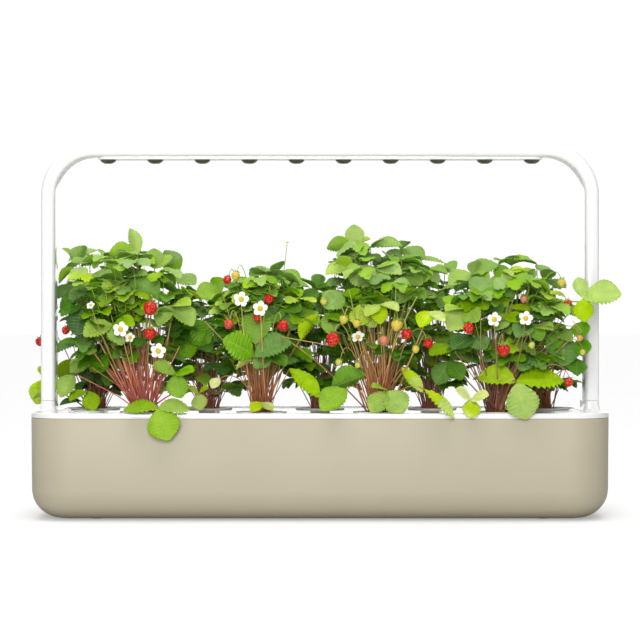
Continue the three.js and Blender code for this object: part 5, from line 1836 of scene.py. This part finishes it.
# The stalks of the front flowers bend in front of the leaves.
FRONT_BEND = -102 * MM
FRONT_FLOWERS = -60 * MM
BEND_SHARE = 0.6
CALYX_BEHIND = 0.6 * MM
STALK_BEHIND = 1 * MM
CENTRE_SIZE = 0.36
CENTRE_LIFT = 0.1
PETALS = {"inner": 0.16, "outer": 1, "lift": 0.12, "count": 5}
CALYX = {"inner": 0.1, "outer": 0.8, "lift": 0, "count": 5}
for across, down, half, aside, above in SEEN_FLOWERS:
    middle = seen_at(across, down, FLOWER_DEPTH if down > HIGH_FLOWER else HIGH_FLOWER_DEPTH)
    radius = half * (EYE_DISTANCE + middle.y) / PHOTO_SCALE
    cup = nearest_cup(middle)
    axis = Vector((aside, -1, above)).normalized()
    fruits[cup] += star(petal_model, middle, axis, radius, **PETALS)
    fruits[cup] += star(sepal_model, middle - axis * CALYX_BEHIND, axis, radius, **CALYX)
    turn = axis.to_track_quat("Z", "Y").to_matrix().to_4x4()
    size = Matrix.Diagonal((*[radius * CENTRE_SIZE] * 3, 1))
    dome = Matrix.Translation(middle + axis * radius * CENTRE_LIFT) @ turn @ size
    fruits[cup].append((centre_model, dome, ANY_TONE))
    foot = crown_point(cup)
    end = middle - axis * STALK_BEHIND
    bend = foot.lerp(end, BEND_SHARE)
    bend.y = FRONT_BEND if end.y < FRONT_FLOWERS else bend.y
    bend.z = foot.z + 0.5 * (end.z - foot.z)
    fruit_lines[cup].append((bow(foot, bend, end, FRUIT_STALK_POINTS), FRUIT_STALK))
for cup in cups:
    if not fruits[cup]:
        continue
    piece = gather("fruit_" + cup[4:], fruits[cup])
    for finish in (berry_skin, sepal_skin, petal_skin, pollen):
        piece.data.materials.append(finish)
    finish_piece(piece, None, "pod_" + cup[4:], smooth=60)
for model in fruit_models:
    bpy.data.objects.remove(model)
print("plants with fruit or flowers:", sum(1 for cup in cups if fruits[cup]))

# %% Bare stalks read from the photograph
# A few pale stalks run in front of the leaves: their upper end across and down, then a point
# further down that they pass, and their depth in mm. They carry leaves, buds and runners.
SEEN_STALKS = [
    (221.8, 291, 230, 318, -90),
    (265, 314, 260, 345, -94),
    (335, 347, 282, 337.5, -94),
    (396.5, 278, 395, 320, -88),
    (349.5, 290, 354, 313, -88),
    (417.5, 297, 403, 325, -90),
    (481, 315, 481, 355, -92),
    (573, 321.5, 582, 332, -72),
    (77.5, 375.6, 110.5, 392.5, -62),
    (92, 368, 118, 386, -66),
    (562.7, 335, 539.6, 353, -72),
    (180, 347, 167.5, 372, -84),
    (205, 322, 232, 350, -86),
    (424, 336, 404, 372, -88),
    (455, 352, 478, 384, -84),
]
print("bare stalks:", len(SEEN_STALKS))

# %% Place the bare stalks
FRONT_STALK = 0.65 * MM
PASSED_BEHIND = 6
LOWER_SHARE = 0.6
LOWER_CLIMB = 0.75
for across, down, on_across, on_down, depth in SEEN_STALKS:
    end = seen_at(across, down, depth * MM)
    cup = nearest_cup(end)
    passed = seen_at(on_across, on_down, (depth + PASSED_BEHIND) * MM)
    foot = crown_point(cup)
    lower = foot.lerp(passed, LOWER_SHARE)
    lower.z = foot.z + LOWER_CLIMB * abs(passed.z - foot.z)
    upper_half = bow(passed, passed.lerp(end, 0.5), end, steps=5)[1:]
    fruit_lines[cup].append((bow(foot, lower, passed, steps=6) + upper_half, FRONT_STALK))
print("thin stalks to draw:", sum(len(lines) for lines in fruit_lines.values()))

# %% [markdown]
# ## Stalks
# Every leaf has its own stalk from the crown of the plant, reddish at its foot and green near the
# leaf. The stalks are curves with a round section, thinner towards the leaf, made into a mesh
# when all stalks of a plant are drawn.


# %% Stalk finishes
BLOTCH_SIZE = 7 * MM
BLOTCH_SWAY = 90 * MM
CLIMB_SPAN = {"From Min": 140 * MM, "From Max": 280 * MM}
STALK_TOP = "#9AAE48"
SHADE_SPAN = {"To Min": 0.65, "To Max": 1.5}


def stalk_finish(name, foot, lower, upper):
    """Hairy stalk skin that turns from its foot's colour to the leaf's green as it climbs."""
    finish, tree, shader = new_finish(name)
    place = object_place(tree)
    split = add_node(tree, "SeparateXYZ", links={0: place})
    blotch = add_node(tree, "TexNoise", {"Scale": 1 / BLOTCH_SIZE, "Detail": 2}, {"Vector": place})
    sway = {"operation": "MULTIPLY_ADD", 1: BLOTCH_SWAY}
    wander = add_node(tree, "Math", sway, {0: blotch.outputs["Fac"], 2: split.outputs["Z"]})
    climb = add_node(tree, "MapRange", CLIMB_SPAN, {"Value": wander.outputs[0]})
    stops = [(0, foot), (0.3, lower), (0.62, upper), (1, STALK_TOP)]
    bark = add_node(tree, "ValToRGB", {}, {0: climb.outputs[0]}, stops)
    # Each stalk is an island of its mesh, and no two have the same age or shade.
    island = add_node(tree, "NewGeometry")
    value = add_node(tree, "MapRange", SHADE_SPAN, {"Value": island.outputs["Random Per Island"]})
    shaded = {"Color": bark.outputs[0], "Value": value.outputs[0]}
    shade = add_node(tree, "HueSaturation", links=shaded)
    tree.links.new(shade.outputs[0], shader.inputs["Base Color"])
    shader.inputs["Roughness"].default_value = 0.55
    return finish


pink = stalk_finish("pink_strawberry_stalk", "#A5483F", "#C46A58", "#B98A58")
tan = stalk_finish("tan_strawberry_stalk", "#8C4A30", "#B0724A", "#B39456")
brown = stalk_finish("brown_strawberry_stalk", "#8C4C3C", "#9C6A50", "#9B8450")
stalk_finishes = [brown, pink, brown, tan, brown, tan, brown, brown, tan]
print("stalk finishes:", len(set(stalk_finishes)))


# %% Draw stalks
STALK_POINTS = 9
# A stalk is this much thicker than asked at its foot, and gets thinner by this share to its end.
STALK_FOOT = 1.15
STALK_TAPER = 0.6


def draw_stalks(name, lines):
    """One mesh of round stalks. Each line is a list of points and a radius."""
    curve = bpy.data.curves.new(name, "CURVE")
    curve.dimensions = "3D"
    curve.bevel_depth = 1 * MM
    curve.bevel_resolution = 1
    curve.use_fill_caps = True
    for points, radius in lines:
        spline = curve.splines.new("POLY")
        spline.points.add(len(points) - 1)
        for index, (dot, place) in enumerate(zip(spline.points, points)):
            dot.co = (*place, 1)
            dot.radius = radius / MM * (STALK_FOOT - STALK_TAPER * index / len(points))
    piece = bpy.data.objects.new(name, curve)
    bpy.context.collection.objects.link(piece)
    take(piece)
    bpy.ops.object.convert(target="MESH")
    edit(piece)
    close_skin(MERGE)
    return piece


print("a leaf's stalk has", STALK_POINTS, "points")

# %% Stalks of each plant
RISE_SHARE = 0.62
BEND_SHARES = (0.45, 0.8)
STALK_WIDTHS = (0.85, 1.25)
# A low leaf's stalk first rises this far above it, and then bows down to it.
LOW_HUB = 150 * MM
LOW_RISE = 14 * MM
for cup, finish in zip(cups, stalk_finishes):
    lines = list(fruit_lines[cup])
    for hub, radius in stalk_ends[cup]:
        foot = crown_point(cup)
        climb = hub.z - foot.z
        rise = max(RISE_SHARE * climb, climb + LOW_RISE if hub.z < LOW_HUB else 0)
        share = chance.uniform(*BEND_SHARES)
        x, y = (foot[axis] + share * (hub[axis] - foot[axis]) for axis in (0, 1))
        bend = Vector((x, y, foot.z + rise))
        lines.append((bow(foot, bend, hub, STALK_POINTS), radius * chance.uniform(*STALK_WIDTHS)))
    stalks = draw_stalks("stalks_" + cup[4:], lines)
    finish_piece(stalks, finish, "pod_" + cup[4:], smooth=50)
    report(stalks)

# %% Close the scene
size = {"cad": [list(CAD_LOW), list(CAD_HIGH)]}
visual_low, visual_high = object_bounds()
size["visual"] = [list(visual_low), list(visual_high)]
print(size)
